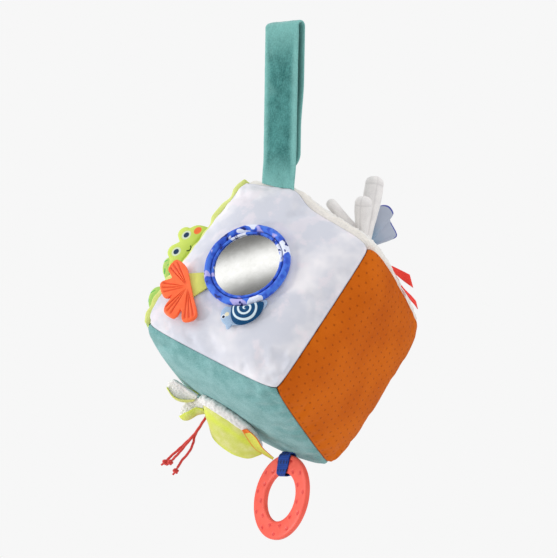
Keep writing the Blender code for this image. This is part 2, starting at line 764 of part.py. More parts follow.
yellow_surface = between_routes("bottom", yellow_leaf_near_shares, yellow_leaf_far_shares)
base_hinge("yellow_leaf_hinge", "wide_petal_hinge", yellow_surface)
single_flap("yellow_leaf", "yellow_leaf_hinge", yellow_surface, yellow_leaf_thickness, ribbon_columns,
            flap_rows, "yellow_cotton")
wing_surface = between_routes("top", wing_near_shares, wing_far_shares)
wing_left, wing_right = wing_surface(0, 0), wing_surface(0, 1)
wing_frame = frame_of((wing_left + wing_right) / 2, wing_right - wing_left, wing_surface(1, 0) - wing_left)
hinge("wing_hinge", "block_hinge", wing_frame)
single_flap("wing_flap", "wing_hinge", wing_surface, wing_thickness, wing_rows, wing_columns, "wing_satin")
for which, ribbon in red_ribbons.items():
    surface = between_routes("top", ribbon["near_shares"], ribbon["far_shares"])
    base_hinge("red_ribbon_" + which + "_hinge", "block_hinge", surface)
    single_flap("red_ribbon_" + which, "red_ribbon_" + which + "_hinge", surface, red_ribbon_thickness,
                ribbon_columns, ribbon_rows, "red_ribbon")


# Stamen cords: a round tube through each route, with its knot at the free end
def cord(which, route_shares):
    route = [share_spot("bottom", shares) for shares in route_shares]
    straight = sum((second - first).length for first, second in zip(route, route[1:]))
    count = round(straight / (cord_diameter * cord_spacing_share))
    curve = bpy.data.curves.new("stamen_cord_" + which, "CURVE")
    curve.dimensions = "3D"
    curve.bevel_depth = cord_diameter / 2
    curve.bevel_resolution = 2
    curve.use_fill_caps = True
    spline = curve.splines.new("POLY")
    spline.points.add(count)
    for index, point in enumerate(spline.points):
        place = frames["block_hinge"].inverted() @ smooth_route(route, index / count)
        point.co = (*place, 1)
    item = bpy.data.objects.new("stamen_cord_" + which, curve)
    item.parent = bpy.data.objects["block_hinge"]
    curve.materials.append(finish("red_cord"))
    collection.objects.link(item)
    end_way = (route[-1] - route[-2]).normalized()
    knot = bmesh.new()
    bmesh.ops.create_uvsphere(knot, u_segments=knot_segments, v_segments=knot_rings, radius=knot_radius)
    middle = Matrix.Translation(route[-1] + end_way * (knot_radius + clearance))
    piece("stamen_knot_" + which, mesh_from("knot", knot), "block_hinge", "red_cord", middle)


for which, route_shares in stamens.items():
    cord(which, route_shares)

# Teething ring: X lies across its ribbon, Y is the way it faces and Z runs up its band to the seat
ring_seat = share_spot("bottom", ring_seat_shares)
ring_up = (ring_seat - share_spot("bottom", ring_middle_shares)).normalized()
ring_frame = frame_of(ring_seat, ring_facing.cross(ring_up), ring_up)
hinge("ring_ribbon_hinge", "block_hinge", ring_frame)
ribbon_half = ring_thickness / 2 + ring_ribbon_gap + ring_ribbon_thickness / 2
band_bottom = math.sqrt((ring_radius - ring_band) ** 2 - (ring_ribbon_width / 2) ** 2)
ring_drop = ring_neck + ring_radius
ribbon_bottom = ring_drop - band_bottom + ring_ribbon_gap + ring_ribbon_thickness
neck_half = ring_ribbon_thickness / 2 + ring_ribbon_gap
ribbon_turn = ring_thickness / 2
ribbon_loop = (
    (neck_half, 0), (neck_half, ring_neck / 3), (ribbon_half, ring_neck + ring_corner),
    (ribbon_half, mix(ring_neck, ribbon_bottom, 0.5)), (ribbon_half, ribbon_bottom - ribbon_turn),
    (ribbon_half - ribbon_turn / 3, ribbon_bottom - ribbon_turn / 3), (0, ribbon_bottom))
ribbon_route = [Vector((0, -side, -drop)) for side, drop in ribbon_loop]
ribbon_route += [Vector((0, side, -drop)) for side, drop in reversed(ribbon_loop[:-1])]


def ring_ribbon_surface(across, along):
    place = smooth_route(ribbon_route, along)
    place.x = mix(-ring_ribbon_width / 2, ring_ribbon_width / 2, across)
    return ring_frame @ place


piece("ring_ribbon", layer_mesh("ring_ribbon", ring_ribbon_surface, -ring_ribbon_thickness / 2,
                                ring_ribbon_thickness / 2, ring_ribbon_columns, ring_ribbon_rows),
      "ring_ribbon_hinge", "blue_ribbon")
ring_centre = ring_frame @ Vector((0, 0, -ring_drop))
ring_turn = frame_of(ring_centre, ring_frame.to_3x3().col[0], ring_frame.to_3x3().col[1])
hinge("ring_hinge", "ring_ribbon_hinge", ring_turn)
half_ring = ring_thickness / 2
ring_outline = rounded_band(ring_radius - ring_band, ring_radius, -half_ring, half_ring, ring_corner)
turned_piece("teething_ring", ring_outline, ring_steps, "ring_hinge", "coral_plastic", ring_turn)


# Limbs: a round that swells from its neck to its tip
def limb_mesh(base, tip, radius):
    axis = (tip - base).normalized()
    side = axis.orthogonal().normalized()
    other = axis.cross(side)
    neck = radius * limb_neck_share
    work = bmesh.new()
    bmesh.ops.create_uvsphere(work, u_segments=limb_around, v_segments=limb_along, radius=1)
    for corner in work.verts:
        gone = (corner.co.z + 1) / 2
        flat = Vector((corner.co.x, corner.co.y))
        swell = mix(neck, radius, ease(gone * limb_swell_share))
        ring = math.sqrt(flat.length)
        way = flat.normalized() if flat.length > clearance else Vector((0, 0))
        reach = mix(-neck, (tip - base).length + radius, gone)
        corner.co = base + axis * reach + (side * way.x + other * way.y) * swell * ring
    return mesh_from("limb", work)


for which, limb in limbs.items():
    base = share_spot("top", limb["base_shares"])
    tip = share_spot("top", limb["tip_shares"])
    across_way = seat_frame("top", *limb["base_shares"][:2]).to_3x3().col[0]
    hinge("limb_" + which + "_hinge", "block_hinge", frame_of(base, across_way, tip - base))
    piece("limb_" + which, limb_mesh(base, tip, limb["radius"]), "limb_" + which + "_hinge", "grey_velour")
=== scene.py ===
import math

import bmesh
import bpy
from mathutils import Euler, Matrix, Vector, noise


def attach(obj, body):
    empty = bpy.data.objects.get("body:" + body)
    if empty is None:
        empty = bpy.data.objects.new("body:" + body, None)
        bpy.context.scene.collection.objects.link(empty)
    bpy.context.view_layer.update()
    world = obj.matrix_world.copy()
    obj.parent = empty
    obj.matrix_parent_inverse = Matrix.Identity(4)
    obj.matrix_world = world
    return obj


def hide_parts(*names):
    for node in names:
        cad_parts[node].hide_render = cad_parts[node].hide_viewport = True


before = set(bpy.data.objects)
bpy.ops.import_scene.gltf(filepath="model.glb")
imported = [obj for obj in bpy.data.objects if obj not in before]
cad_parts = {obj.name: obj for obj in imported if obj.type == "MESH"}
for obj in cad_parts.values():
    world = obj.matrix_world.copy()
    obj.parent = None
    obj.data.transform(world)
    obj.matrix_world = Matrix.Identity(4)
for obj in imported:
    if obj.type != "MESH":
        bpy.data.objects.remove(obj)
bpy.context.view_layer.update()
scene = bpy.context.scene
print("frame loaded:", len(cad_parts), "solids")

# The block's shape, as in the solids: a stuffed cube with crowned faces, hung by its strap seam
blockShape = {
    "half": 0.074, "turn": (-31, 21.2, 7.3), "crown": 0.0125, "crownPower": 4,
    "corner": 0.036, "cornerPower": 3, "blunt": 0.045, "bluntPower": 12,
    "stretch": 0.019, "tug": (0.0116, 0.0102, 0.0098), "tugReach": 2.0,
    "strapSeat": (-0.85, -0.23), "strapDrop": 0.134, "strapLean": 0.003, "loopRadius": 0.004,
}
blockTurn = Euler([math.radians(angle) for angle in blockShape["turn"]])
half = blockShape["half"]
faceWays = {
    "front": (Vector((0, -1, 0)), Vector((1, 0, 0)), Vector((0, 0, 1))),
    "right": (Vector((1, 0, 0)), Vector((0, 1, 0)), Vector((0, 0, 1))),
    "left": (Vector((-1, 0, 0)), Vector((0, -1, 0)), Vector((0, 0, 1))),
    "top": (Vector((0, 0, 1)), Vector((1, 0, 0)), Vector((0, 1, 0))),
    "bottom": (Vector((0, 0, -1)), Vector((1, 0, 0)), Vector((0, -1, 0))),
    "back": (Vector((0, 1, 0)), Vector((-1, 0, 0)), Vector((0, 0, 1))),
}


def freePoint(face, across, along, lift):
    outward, rightWay, upWay = faceWays[face]
    unit = outward + rightWay * across + upWay * along
    held = Vector([max(-1, min(1, value)) for value in unit])
    product = abs(held.x * held.y * held.z)
    drawn = 1 - blockShape["corner"] * product ** blockShape["cornerPower"]
    drawn -= blockShape["blunt"] * product ** blockShape["bluntPower"]
    power = blockShape["crownPower"]
    flatness = (1 - min(1, abs(across)) ** power) * (1 - min(1, abs(along)) ** power)
    point = unit * half * drawn + outward * (blockShape["crown"] * flatness + lift)
    point.rotate(blockTurn)
    stretch = blockShape["stretch"]
    point = Vector((point.x * (1 - stretch / 2), point.y * (1 - stretch / 2), point.z * (1 + stretch)))
    pull = max(0, 1 - (held - Vector((-1, -1, 1))).length / blockShape["tugReach"]) ** 2
    return point + Vector(blockShape["tug"]) * pull


seamLeft = freePoint("front", blockShape["strapSeat"][0], 1, 0)
seamRight = freePoint("front", blockShape["strapSeat"][1], 1, 0)
blockCentre = -(seamLeft + seamRight) / 2
blockCentre -= Vector((blockShape["strapLean"], blockShape["loopRadius"], blockShape["strapDrop"]))


def facePoint(face, across, along, lift=0.0):
    return blockCentre + freePoint(face, across, along, lift)


def sharePoint(face, shares):
    return facePoint(face, shares[0], shares[1], shares[2] * half)


def mix(first, second, share):
    return first + (second - first) * share


def ease(share):
    share = max(0.0, min(1.0, share))
    return share * share * (3 - 2 * share)


def frameOf(origin, xWay, nearZ):
    xWay = xWay.normalized()
    zWay = (nearZ - xWay * nearZ.dot(xWay)).normalized()
    turn = Matrix((xWay, zWay.cross(xWay), zWay)).transposed()
    return Matrix.Translation(origin) @ turn.to_4x4()


def faceFrame(face, across, along, lift=0.0):
    step = 0.004
    middle = facePoint(face, across, along)
    acrossWay = (facePoint(face, across + step, along) - facePoint(face, across - step, along)).normalized()
    alongWay = facePoint(face, across, along + step) - facePoint(face, across, along - step)
    out = acrossWay.cross(alongWay).normalized()
    return frameOf(middle + out * lift, acrossWay, out)


def smoothRoute(points, share):
    last = len(points) - 1
    place = min(max(share, 0), 1) * last
    start = min(int(place), last - 1)
    part = place - start
    before = points[start - 1] if start > 0 else points[start] * 2 - points[start + 1]
    after = points[start + 2] if start + 2 <= last else points[start + 1] * 2 - points[start]
    slopeIn = (points[start + 1] - before) / 2
    slopeOut = (after - points[start]) / 2
    squared, cubed = part * part, part ** 3
    return (points[start] * (2 * cubed - 3 * squared + 1) + slopeIn * (cubed - 2 * squared + part)
            + points[start + 1] * (3 * squared - 2 * cubed) + slopeOut * (cubed - squared))


def betweenRoutes(face, nearShares, farShares, belly=0.0):
    near = [sharePoint(face, shares) for shares in nearShares]
    far = [sharePoint(face, shares) for shares in farShares]

    def surface(across, along):
        first, second = smoothRoute(near, along), smoothRoute(far, along)
        side = (second - first).cross(smoothRoute(near, 1) - smoothRoute(near, 0)).normalized()
        return mix(first, second, across) + side * belly * math.sin(math.pi * across)
    return surface


def grain(point, size, seed=0.0):
    return noise.noise(point / size + Vector((seed, seed * 1.7, seed * 0.3)))


# How the hanging strap draws its seam up at one side, by the unit position on the block
strapPull = {"right": (0.0072, -0.21, 0.24, 0.16), "left": (-0.0040, -0.86, 0.16, 0.24), "reach": 0.014}


def pulledUp(unit):
    rise = 0
    for side in ("right", "left"):
        high, middle, before, after = strapPull[side]
        rise += high * math.exp(-((unit.x - middle) / (before if unit.x < middle else after)) ** 2)
    fromSeam = ((1 - unit.z) + (1 + unit.y)) * half
    return Vector((0, 0, rise * math.exp(-(fromSeam / strapPull["reach"]) ** 2)))


# Camera at the photograph's viewing angle
viewpoint = {"place": (1.1711, -1.3414, -0.2102), "heading": 41.3, "lens": 137.73}
cameraData = bpy.data.cameras.new("viewpoint")
cameraData.sensor_fit = "HORIZONTAL"
cameraData.sensor_width = 36
cameraData.lens = viewpoint["lens"]
camera = bpy.data.objects.new("viewpoint", cameraData)
camera.location = viewpoint["place"]
camera.rotation_euler = (math.radians(90), 0, math.radians(viewpoint["heading"]))
scene.collection.objects.link(camera)
scene.camera = camera
scene.view_settings.view_transform = "Standard"


# Shader maths: a value wraps a socket, and the operators add Math nodes
class Value:
    def __init__(self, finish, socket):
        self.finish, self.socket = finish, socket

    def math(self, operation, *others):
        return self.finish.value("ShaderNodeMath", {"operation": operation}, self, *others)

    def __add__(self, other): return self.math("ADD", other)
    def __sub__(self, other): return self.math("SUBTRACT", other)
    def __mul__(self, other): return self.math("MULTIPLY", other)
    def __truediv__(self, other): return self.math("DIVIDE", other)
    def __pow__(self, other): return self.math("POWER", other)
    def __neg__(self): return self.math("MULTIPLY", -1.0)
    def __abs__(self): return self.math("ABSOLUTE")
    def __gt__(self, other): return self.math("GREATER_THAN", other)
    def __lt__(self, other): return self.math("LESS_THAN", other)
    __radd__ = __add__
    __rmul__ = __mul__

    def __rsub__(self, other):
        return self.finish.value("ShaderNodeMath", {"operation": "SUBTRACT"}, other, self)

    def __rtruediv__(self, other):
        return self.finish.value("ShaderNodeMath", {"operation": "DIVIDE"}, other, self)

    def sin(self): return self.math("SINE")
    def fract(self): return self.math("FRACT")
    def root(self): return self.math("SQRT")
    def floor(self): return self.math("FLOOR")
    def most(self, other): return self.math("MAXIMUM", other)
    def least(self, other): return self.math("MINIMUM", other)

    # 0 below low, 1 above high, smooth between; low may be above high
    def step(self, low, high):
        return self.finish.value("ShaderNodeMapRange", {"interpolation_type": "SMOOTHSTEP"}, self, low, high, 0.0, 1.0)


class Finish:
    def __init__(self, name, roughness=0.8, **settings):
        self.material = bpy.data.materials.new(name)
        self.material.use_nodes = True
        self.tree = self.material.node_tree
        self.shader = self.tree.nodes["Principled BSDF"]
        self.shader.inputs["Roughness"].default_value = roughness
        for key, value in settings.items():
            self.shader.inputs[key.replace("_", " ")].default_value = value
        self.coordinates = self.tree.nodes.new("ShaderNodeTexCoord")

    def node(self, kind, settings, *links, **named):
        made = self.tree.nodes.new(kind)
        for key, value in settings.items():
            if key == "stops":
                while len(made.color_ramp.elements) < len(value):
                    made.color_ramp.elements.new(0.5)
                for element, (place, colour) in zip(made.color_ramp.elements, value):
                    element.position, element.color = place, (*colour, 1)
            else:
                setattr(made, key, value)
        for place, link in list(enumerate(links)) + list(named.items()):
            if link is None:
                continue
            socket = made.inputs[place.replace("_", " ") if isinstance(place, str) else place]
            if isinstance(link, Value):
                self.tree.links.new(link.socket, socket)
            elif isinstance(link, bpy.types.NodeSocket):
                self.tree.links.new(link, socket)
            else:
                socket.default_value = link
        return made

    def value(self, kind, settings, *links, output=0, **named):
        return Value(self, self.node(kind, settings, *links, **named).outputs[output])

    def place(self, scale=(1, 1, 1), uv=False, turn=(0, 0, 0), shift=(0, 0, 0)):
        source = self.coordinates.outputs["UV" if uv else "Object"]
        mapped = self.node("ShaderNodeMapping", {}, source, shift, turn, scale)
        return mapped.outputs[0]

    def parts(self, vector):
        made = self.node("ShaderNodeSeparateXYZ", {}, vector)
        return [Value(self, made.outputs[index]) for index in range(3)]

    def speckle(self, size, detail=2.0, rough=0.5, vector=None, lacunarity=2.0):
        where = vector if vector is not None else self.coordinates.outputs["Object"]
        return self.value("ShaderNodeTexNoise", {}, where, None, 1 / size, detail, rough, lacunarity)

    def cells(self, size, feature="F1", vector=None, randomness=1.0, output="Distance"):
        where = vector if vector is not None else self.coordinates.outputs["Object"]
        made = self.node("ShaderNodeTexVoronoi", {"feature": feature}, Vector=where, Scale=1 / size,
                         Randomness=randomness)
        return Value(self, made.outputs[output])

    def blendColour(self, share, first, second):
        made = self.node("ShaderNodeMix", {"data_type": "RGBA"}, Factor=share)
        for socket, colour in ((made.inputs[6], first), (made.inputs[7], second)):
            if isinstance(colour, bpy.types.NodeSocket):
                self.tree.links.new(colour, socket)
            else:
                socket.default_value = (*tint(colour), 1)
        return made.outputs[2]

    def colour(self, source):
        if isinstance(source, bpy.types.NodeSocket):
            self.tree.links.new(source, self.shader.inputs["Base Color"])
        else:
            self.shader.inputs["Base Color"].default_value = (*tint(source), 1)

    def bump(self, height, depth, strength=1.0):
        made = self.node("ShaderNodeBump", {}, Strength=strength, Distance=depth, Height=height)
        self.tree.links.new(made.outputs[0], self.shader.inputs["Normal"])

    def rough(self, value):
        self.tree.links.new(value.socket, self.shader.inputs["Roughness"])


# A colour as seen on the screen, 0 to 255, made linear
def tint(colour):
    if len(colour) == 4:
        return colour[:3]
    return tuple((tone / 255 / 12.92) if tone <= 10 else ((tone / 255 + 0.055) / 1.055) ** 2.4 for tone in colour)


# Fabrics
def velour(name, colour, shade, pile=0.0011, sheen=0.35, patch=0.014, band=None):
    made = Finish(name, 0.92, Sheen_Weight=sheen, Sheen_Roughness=0.45, Specular_IOR_Level=0.15)
    nap = made.speckle(pile, 3, 0.6)
    brushed = made.speckle(patch, 3, 0.55)
    share = (nap.step(0.3, 0.72) * 0.55 + brushed.step(0.3, 0.7) * 0.5).least(1.0)
    paint = made.blendColour(share, shade, colour)
    if band:
        across, along, _ = made.parts(made.place(uv=True))
        # With a band the colour goes paler along its edges and towards both ends. This is painted sheen, mixed with the
        # paler folded hem along the edges and with paler nap patches.
        edge = across.least(band["width"] - across).step(0.009, 0.0)
        ends = abs(along - band["middle"]).step(0.03, 0.07) * 0.8
        sheenHemAndNapPatches = edge.most(made.speckle(0.034, 1, 0.5).step(0.56, 0.70) * 0.6).most(ends) * (0.55 + nap * 0.5)
        paint = made.blendColour(sheenHemAndNapPatches.least(1.0), paint, band["edge"])
    made.colour(paint)
    made.bump(nap * 0.8 + brushed * 0.2, 0.0009, 0.8)
    return made


def wovenCloth(name, colour, shade, thread=0.0005, sheen=0.1, rough=0.85, blotch=0.02):
    made = Finish(name, rough, Sheen_Weight=sheen, Specular_IOR_Level=0.2)
    across, along, _ = made.parts(made.place(uv=True))
    weft = (across * (6.283 / thread)).sin()
    warp = (along * (6.283 / thread)).sin()
    weave = (weft * warp) * 0.5 + 0.5
    cloud = made.speckle(blotch, 3, 0.5)
    made.colour(made.blendColour(cloud.step(0.35, 0.68) * 0.75 + weave * 0.25, shade, colour))
    made.bump(weave, 0.00012, 0.6)
    return made


def grosgrain(name, colour, shade, rib=0.0009, dots=None):
    made = Finish(name, 0.65, Sheen_Weight=0.06, Specular_IOR_Level=0.2)
    across, along, _ = made.parts(made.place(uv=True))
    ribs = (along * (6.283 / rib)).sin() * 0.5 + 0.5
    paint = made.blendColour(ribs * 0.8 + made.speckle(0.004) * 0.2, shade, colour)
    if dots:
        row = (along / dots["pitch"]).floor()
        shifted = (across / dots["pitch"] + row * 0.5).fract() - 0.5
        down = (along / dots["pitch"]).fract() - 0.5
        round_ = (shifted * shifted + down * down).root()
        paint = made.blendColour(round_.step(dots["size"] * 1.25, dots["size"] * 0.85), paint, dots["colour"])
    made.colour(paint)
    made.bump(ribs, 0.00015, 0.7)
    return made


# Pieces
def place(name, workMesh, body, finish, replaces=(), slot=None, smooth=True):
    item = bpy.data.objects.new(name, workMesh)
    scene.collection.objects.link(item)
    workMesh.materials.append(finish.material)
    if smooth:
        workMesh.shade_smooth()
    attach(item, body)
    if replaces:
        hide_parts(*([replaces] if isinstance(replaces, str) else replaces))
    return item


def meshOf(name, work, fixNormals=True):
    if fixNormals:
        bmesh.ops.recalc_face_normals(work, faces=work.faces[:])
        if work.calc_volume(signed=True) < 0 and all(edge.is_manifold for edge in work.edges):
            bmesh.ops.reverse_faces(work, faces=work.faces[:])
    made = bpy.data.meshes.new(name)
    work.to_mesh(made)
    work.free()
    return made


def closeUp(item, levels=1, thickness=None, offset=0.0, crease=0.0):
    if thickness:
        solid = item.modifiers.new("thickness", "SOLIDIFY")
        solid.thickness = thickness
        solid.offset = offset
        solid.use_even_offset = True
        solid.use_quality_normals = True
        solid.edge_crease_rim = crease
    if levels:
        rounding = item.modifiers.new("rounding", "SUBSURF")
        rounding.levels = levels
        rounding.render_levels = levels
    return item


# A grid laid on a surface of two shares, with its UV map in metres and an optional painted mark
def gridMesh(name, surface, columns, rows, size, mark=None, spread=None, merge=False):
    work = bmesh.new()
    bmesh.ops.create_grid(work, x_segments=columns, y_segments=rows, size=1)
    sheet = work.loops.layers.uv.new("cloth")
    painted = work.verts.layers.float.new("mark")
    shares = {corner: ((corner.co.x + 1) / 2, (corner.co.y + 1) / 2) for corner in work.verts}
    if spread:
        shares = {corner: (spread(across), spread(along)) for corner, (across, along) in shares.items()}
    for face in work.faces:
        for loop in face.loops:
            across, along = shares[loop.vert]
            loop[sheet].uv = (across * size[0], along * size[1])
    for corner, (across, along) in shares.items():
        corner.co = surface(across, along)
        corner[painted] = mark(across, along) if mark else 0.0
    if merge:
        bmesh.ops.remove_doubles(work, verts=work.verts[:], dist=0.000005)
        return meshOf(name, work)
    made = bpy.data.meshes.new(name)
    work.to_mesh(made)
    work.free()
    return made


# A closed slab between two surfaces, with its UV map in metres
def slabMesh(name, under, over, columns, rows, size, mark=None):
    work = bmesh.new()
    bmesh.ops.create_grid(work, x_segments=columns, y_segments=rows, size=1)
    sheet = work.loops.layers.uv.new("cloth")
    painted = work.verts.layers.float.new("mark")
    for face in work.faces:
        for loop in face.loops:
            loop[sheet].uv = ((loop.vert.co.x + 1) / 2 * size[0], (loop.vert.co.y + 1) / 2 * size[1])
    lower = work.verts[:]
    lifted = bmesh.ops.extrude_face_region(work, geom=work.faces[:])["geom"]
    upper = [item for item in lifted if isinstance(item, bmesh.types.BMVert)]
    for surface, corners in ((under, lower), (over, upper)):
        for corner in corners:
            across, along = (corner.co.x + 1) / 2, (corner.co.y + 1) / 2
            corner.co = surface(across, along)
            corner[painted] = mark(across, along) if mark else 0.0
    return meshOf(name, work)


# A smooth closed outline through points given in millimetres
def loopOf(points):
    closed = [Vector((x, y)) / 1000 for x, y in points]
    count = len(closed)

    def outline(share):
        place = (share % 1) * count
        start, part = int(place) % count, place - int(place)
        before, here, after, last = (closed[(start + step) % count] for step in (-1, 0, 1, 2))
        return (here * 2 + (after - before) * part + (before * 2 - here * 5 + after * 4 - last) * part ** 2
                + (here * 3 - before - after * 3 + last) * part ** 3) / 2
    return outline


# A closed pad over a flat outline: put() places a flat point at a height, rise() is its half thickness
def padMesh(name, outline, centre, put, rise, around=120, rings=20, mark=None):
    work = bmesh.new()
    bmesh.ops.create_grid(work, x_segments=around, y_segments=rings, size=1)
    sheet = work.loops.layers.uv.new("cloth")
    painted = work.verts.layers.float.new("mark")
    spots = {}
    for corner in work.verts:
        ring = math.sin(math.pi / 2 * (1 - abs(corner.co.y)))
        side = -1 if corner.co.y < 0 else 1
        flat = centre + (outline((corner.co.x + 1) / 2) - centre) * ring
        spots[corner] = (flat, ring, side)
    for face in work.faces:
        behind = 0.2 if face.calc_center_median().y < 0 else 0
        for loop in face.loops:
            flat = spots[loop.vert][0]
            loop[sheet].uv = (flat.x + behind, flat.y)
    for corner, (flat, ring, side) in spots.items():
        corner.co = put(flat.x, flat.y, side * rise(flat, ring, side))
        corner[painted] = mark(flat, ring, side) if mark else 0.0
    bmesh.ops.remove_doubles(work, verts=work.verts[:], dist=0.000008)
    return meshOf(name, work)


def rounded(ring, edge):
    gone = max(0, (ring - 1 + edge) / edge)
    return math.sqrt(max(0, 1 - gone * gone))


def normalAt(surface, across, along, step=0.01):
    left, right = max(0, across - step), min(1, across + step)
    down, up = max(0, along - step), min(1, along + step)
    return (surface(right, along) - surface(left, along)).cross(
        surface(across, up) - surface(across, down)).normalized()


def raised(surface, height):
    lifted = height if callable(height) else lambda across, along: height
    return lambda across, along: surface(across, along) + normalAt(surface, across, along) * lifted(across, along)


# Stamen cords first: three limp cords hanging from the lily's middle, each with its knot
stamens = {
    "diameter": 0.0023, "knot": 0.0027, "gap": 0.0003, "strands": 3, "twist": 0.0075,
    "reach": {"left": 0.91, "middle": 0.93, "right": 0.96},
    "routes": {
        "left": (
            (-0.290, -0.125, 0.012), (-0.284, -0.130, 0.143), (-0.291, -0.140, 0.273), (-0.311, -0.160, 0.403),
            (-0.353, -0.180, 0.516), (-0.400, -0.200, 0.632), (-0.444, -0.210, 0.747), (-0.470, -0.220, 0.850)),
        "right": (
            (-0.302, -0.158, 0.012), (-0.303, -0.160, 0.138), (-0.310, -0.175, 0.268), (-0.316, -0.195, 0.389),
            (-0.296, -0.225, 0.475), (-0.299, -0.260, 0.578), (-0.342, -0.300, 0.703), (-0.346, -0.320, 0.825)),
        "middle": (
            (-0.278, -0.092, 0.012), (-0.266, -0.095, 0.150), (-0.270, -0.105, 0.280), (-0.277, -0.115, 0.407),
            (-0.303, -0.125, 0.530), (-0.321, -0.135, 0.635), (-0.347, -0.145, 0.732), (-0.366, -0.155, 0.795)),
    },
}
cordFinish = Finish("cordCotton", 0.75, Sheen_Weight=0.2, Specular_IOR_Level=0.25)
cordFibre = cordFinish.speckle(0.0006, 2)
cordFinish.colour(cordFinish.blendColour(cordFibre, (184, 44, 44), (240, 84, 74)))
cordFinish.bump(cordFibre, 0.0002)


# A tube of three twisted strands along a route
def twistedTube(name, points, radius, around=18):
    length = sum((second - first).length for first, second in zip(points, points[1:]))
    count = len(points)
    axes = []
    side = (points[1] - points[0]).orthogonal().normalized()
    for index in range(count):
        way = (points[min(index + 1, count - 1)] - points[max(index - 1, 0)]).normalized()
        side = (side - way * side.dot(way)).normalized()
        axes.append((side.copy(), way.cross(side)))

    def surface(across, along):
        place = along * (count - 1)
        index = min(int(place), count - 2)
        part = place - index
        middle = mix(points[index], points[index + 1], part)
        first = mix(axes[index][0], axes[index + 1][0], part)
        second = mix(axes[index][1], axes[index + 1][1], part)
        angle = 2 * math.pi * across
        lobes = math.cos(stamens["strands"] * (angle - 2 * math.pi * along * length / stamens["twist"] / 3))
        reach = radius * (0.93 + 0.09 * lobes)
        return middle + (first * math.cos(angle) + second * math.sin(angle)) * reach
    work = bmesh.new()
    rows = max(count - 1, int(length / 0.0007))
    bmesh.ops.create_grid(work, x_segments=around, y_segments=rows, size=1)
    for corner in work.verts:
        corner.co = surface((corner.co.x + 1) / 2, (corner.co.y + 1) / 2)
    bmesh.ops.remove_doubles(work, verts=work.verts[:], dist=radius / 50)
    bmesh.ops.holes_fill(work, edges=[edge for edge in work.edges if edge.is_boundary], sides=0)
    return meshOf(name, work)


for which, shares in stamens["routes"].items():
    route = [sharePoint("bottom", share) for share in shares]
    points = [smoothRoute(route, index / 30 * stamens["reach"][which]) for index in range(31)]
    cordMesh = twistedTube("stamenCord_" + which, points, stamens["diameter"] / 2)
    cordPiece = place("stamenCord_" + which, cordMesh, "block", cordFinish, "stamen_cord_" + which, "red_cord")
    way = (points[-1] - points[-2]).normalized()
    middle = points[-1] + way * (stamens["knot"] + stamens["gap"])
    knotFrame = frameOf(middle, way.orthogonal(), way)
    turns = 46
    knotLine = []
    for index in range(turns + 1):
        angle = 2 * math.pi * index / turns
        reach = stamens["knot"] * (0.50 + 0.18 * math.cos(3 * angle / 1.0))
        knotLine.append(knotFrame @ Vector((
            reach * math.cos(2 * angle), reach * math.sin(2 * angle), stamens["knot"] * 0.42 * math.sin(3 * angle))))
    knotMesh = twistedTube("stamenKnot_" + which, knotLine, stamens["diameter"] * 0.42, 12)
    work = bmesh.new()
    work.from_mesh(knotMesh)
    tail = [knotFrame @ Vector((0, 0, -stamens["knot"] - stamens["gap"] * 0.6)), knotFrame @ Vector((0.0002, 0, stamens["knot"] * 0.4)),
            knotFrame @ Vector((0.0007, 0.0003, stamens["knot"] * 1.5))]
    tailMesh = twistedTube("tail", [smoothRoute(tail, index / 8) for index in range(9)], stamens["diameter"] * 0.4, 12)
    work.from_mesh(tailMesh)
    knotMesh = meshOf("stamenKnot_" + which, work, False)
    knotPiece = place("stamenKnot_" + which, knotMesh, "block", cordFinish, "stamen_knot_" + which, "red_cord")
    length = sum((second - first).length for first, second in zip(points, points[1:]))
    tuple(points[0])
print("stamen cords made")

# Strap: a velour band folded over the bar, its tail closed on it by the tapes
# The edge colour is the painted sheen on the strap's edges and ends, together with its paler hem
strapSize = {
    "width": 0.037, "thickness": 0.0024, "foldLength": 0.005, "tailLength": 0.114, "tailRound": 0.014,
    "closeFrom": 0.35, "closeTo": 0.70, "tapeLength": 0.030, "tapeWidth": 0.028, "tape": 0.0009, "tapeMargin": 0.003,
    "clearance": 0.0003, "colour": (80, 146, 142), "shade": (30, 94, 91), "edge": (136, 196, 190),
}
strapFinish = velour("strapVelour", strapSize["colour"], strapSize["shade"], 0.0014, 0.35, 0.011,
                     {"width": 0.037, "middle": 0.065, "edge": strapSize["edge"]})
loopRadius = blockShape["loopRadius"]
tailTop = -(strapSize["foldLength"] + strapSize["clearance"] / 2)
tailBottom = tailTop - strapSize["tailLength"]
closeGap = strapSize["thickness"] + 2 * strapSize["tape"] + 3 * strapSize["clearance"]


def strapMiddle(across, along):
    riseShare = 0.86
    side = mix(-strapSize["width"] / 2, strapSize["width"] / 2, across)
    if along <= riseShare:
        share = along / riseShare
        seat = mix(blockShape["strapSeat"][0], blockShape["strapSeat"][1], across)
        seam = facePoint("front", seat, 1) + pulledUp(Vector((seat, -1, 1)))
        height = mix(seam.z - 0.0009, 0, share)
        forward = mix(seam.y - 0.0016, -loopRadius, ease(share * 6))
        ripple = 0.0008 * math.exp(-share * 7) * math.sin(across * 9 + share * 30)
        depth = forward + ripple * (1 - abs(2 * across - 1) ** 4)
        return Vector((mix(seam.x, side, min(1, share * 1.02)), depth, height))
    share = (along - riseShare) / (1 - riseShare) * 1.16
    if share <= 1:
        angle = math.pi * share
        return Vector((side, -loopRadius * math.cos(angle), loopRadius * math.sin(angle)))
    drop = (share - 1) / 0.16 * (strapSize["foldLength"] + 0.0006)
    return Vector((side, loopRadius, -drop))


def bandEdge(across, full, edge=0.08):
    gone = min(across, 1 - across) / edge
    return full * math.sqrt(max(0.09, 1 - (1 - min(1, gone)) ** 2))


def strapLayer(sign):
    def layer(across, along):
        point = strapMiddle(across, along)
        out = normalAt(strapMiddle, across, along)
        depth = bandEdge(across, strapSize["thickness"] / 2)
        if along < 0.05:
            depth *= mix(0.45, 1, along / 0.05)
        return point + out * sign * (depth + 0.0003 * grain(point, 0.006, 3))
    return layer


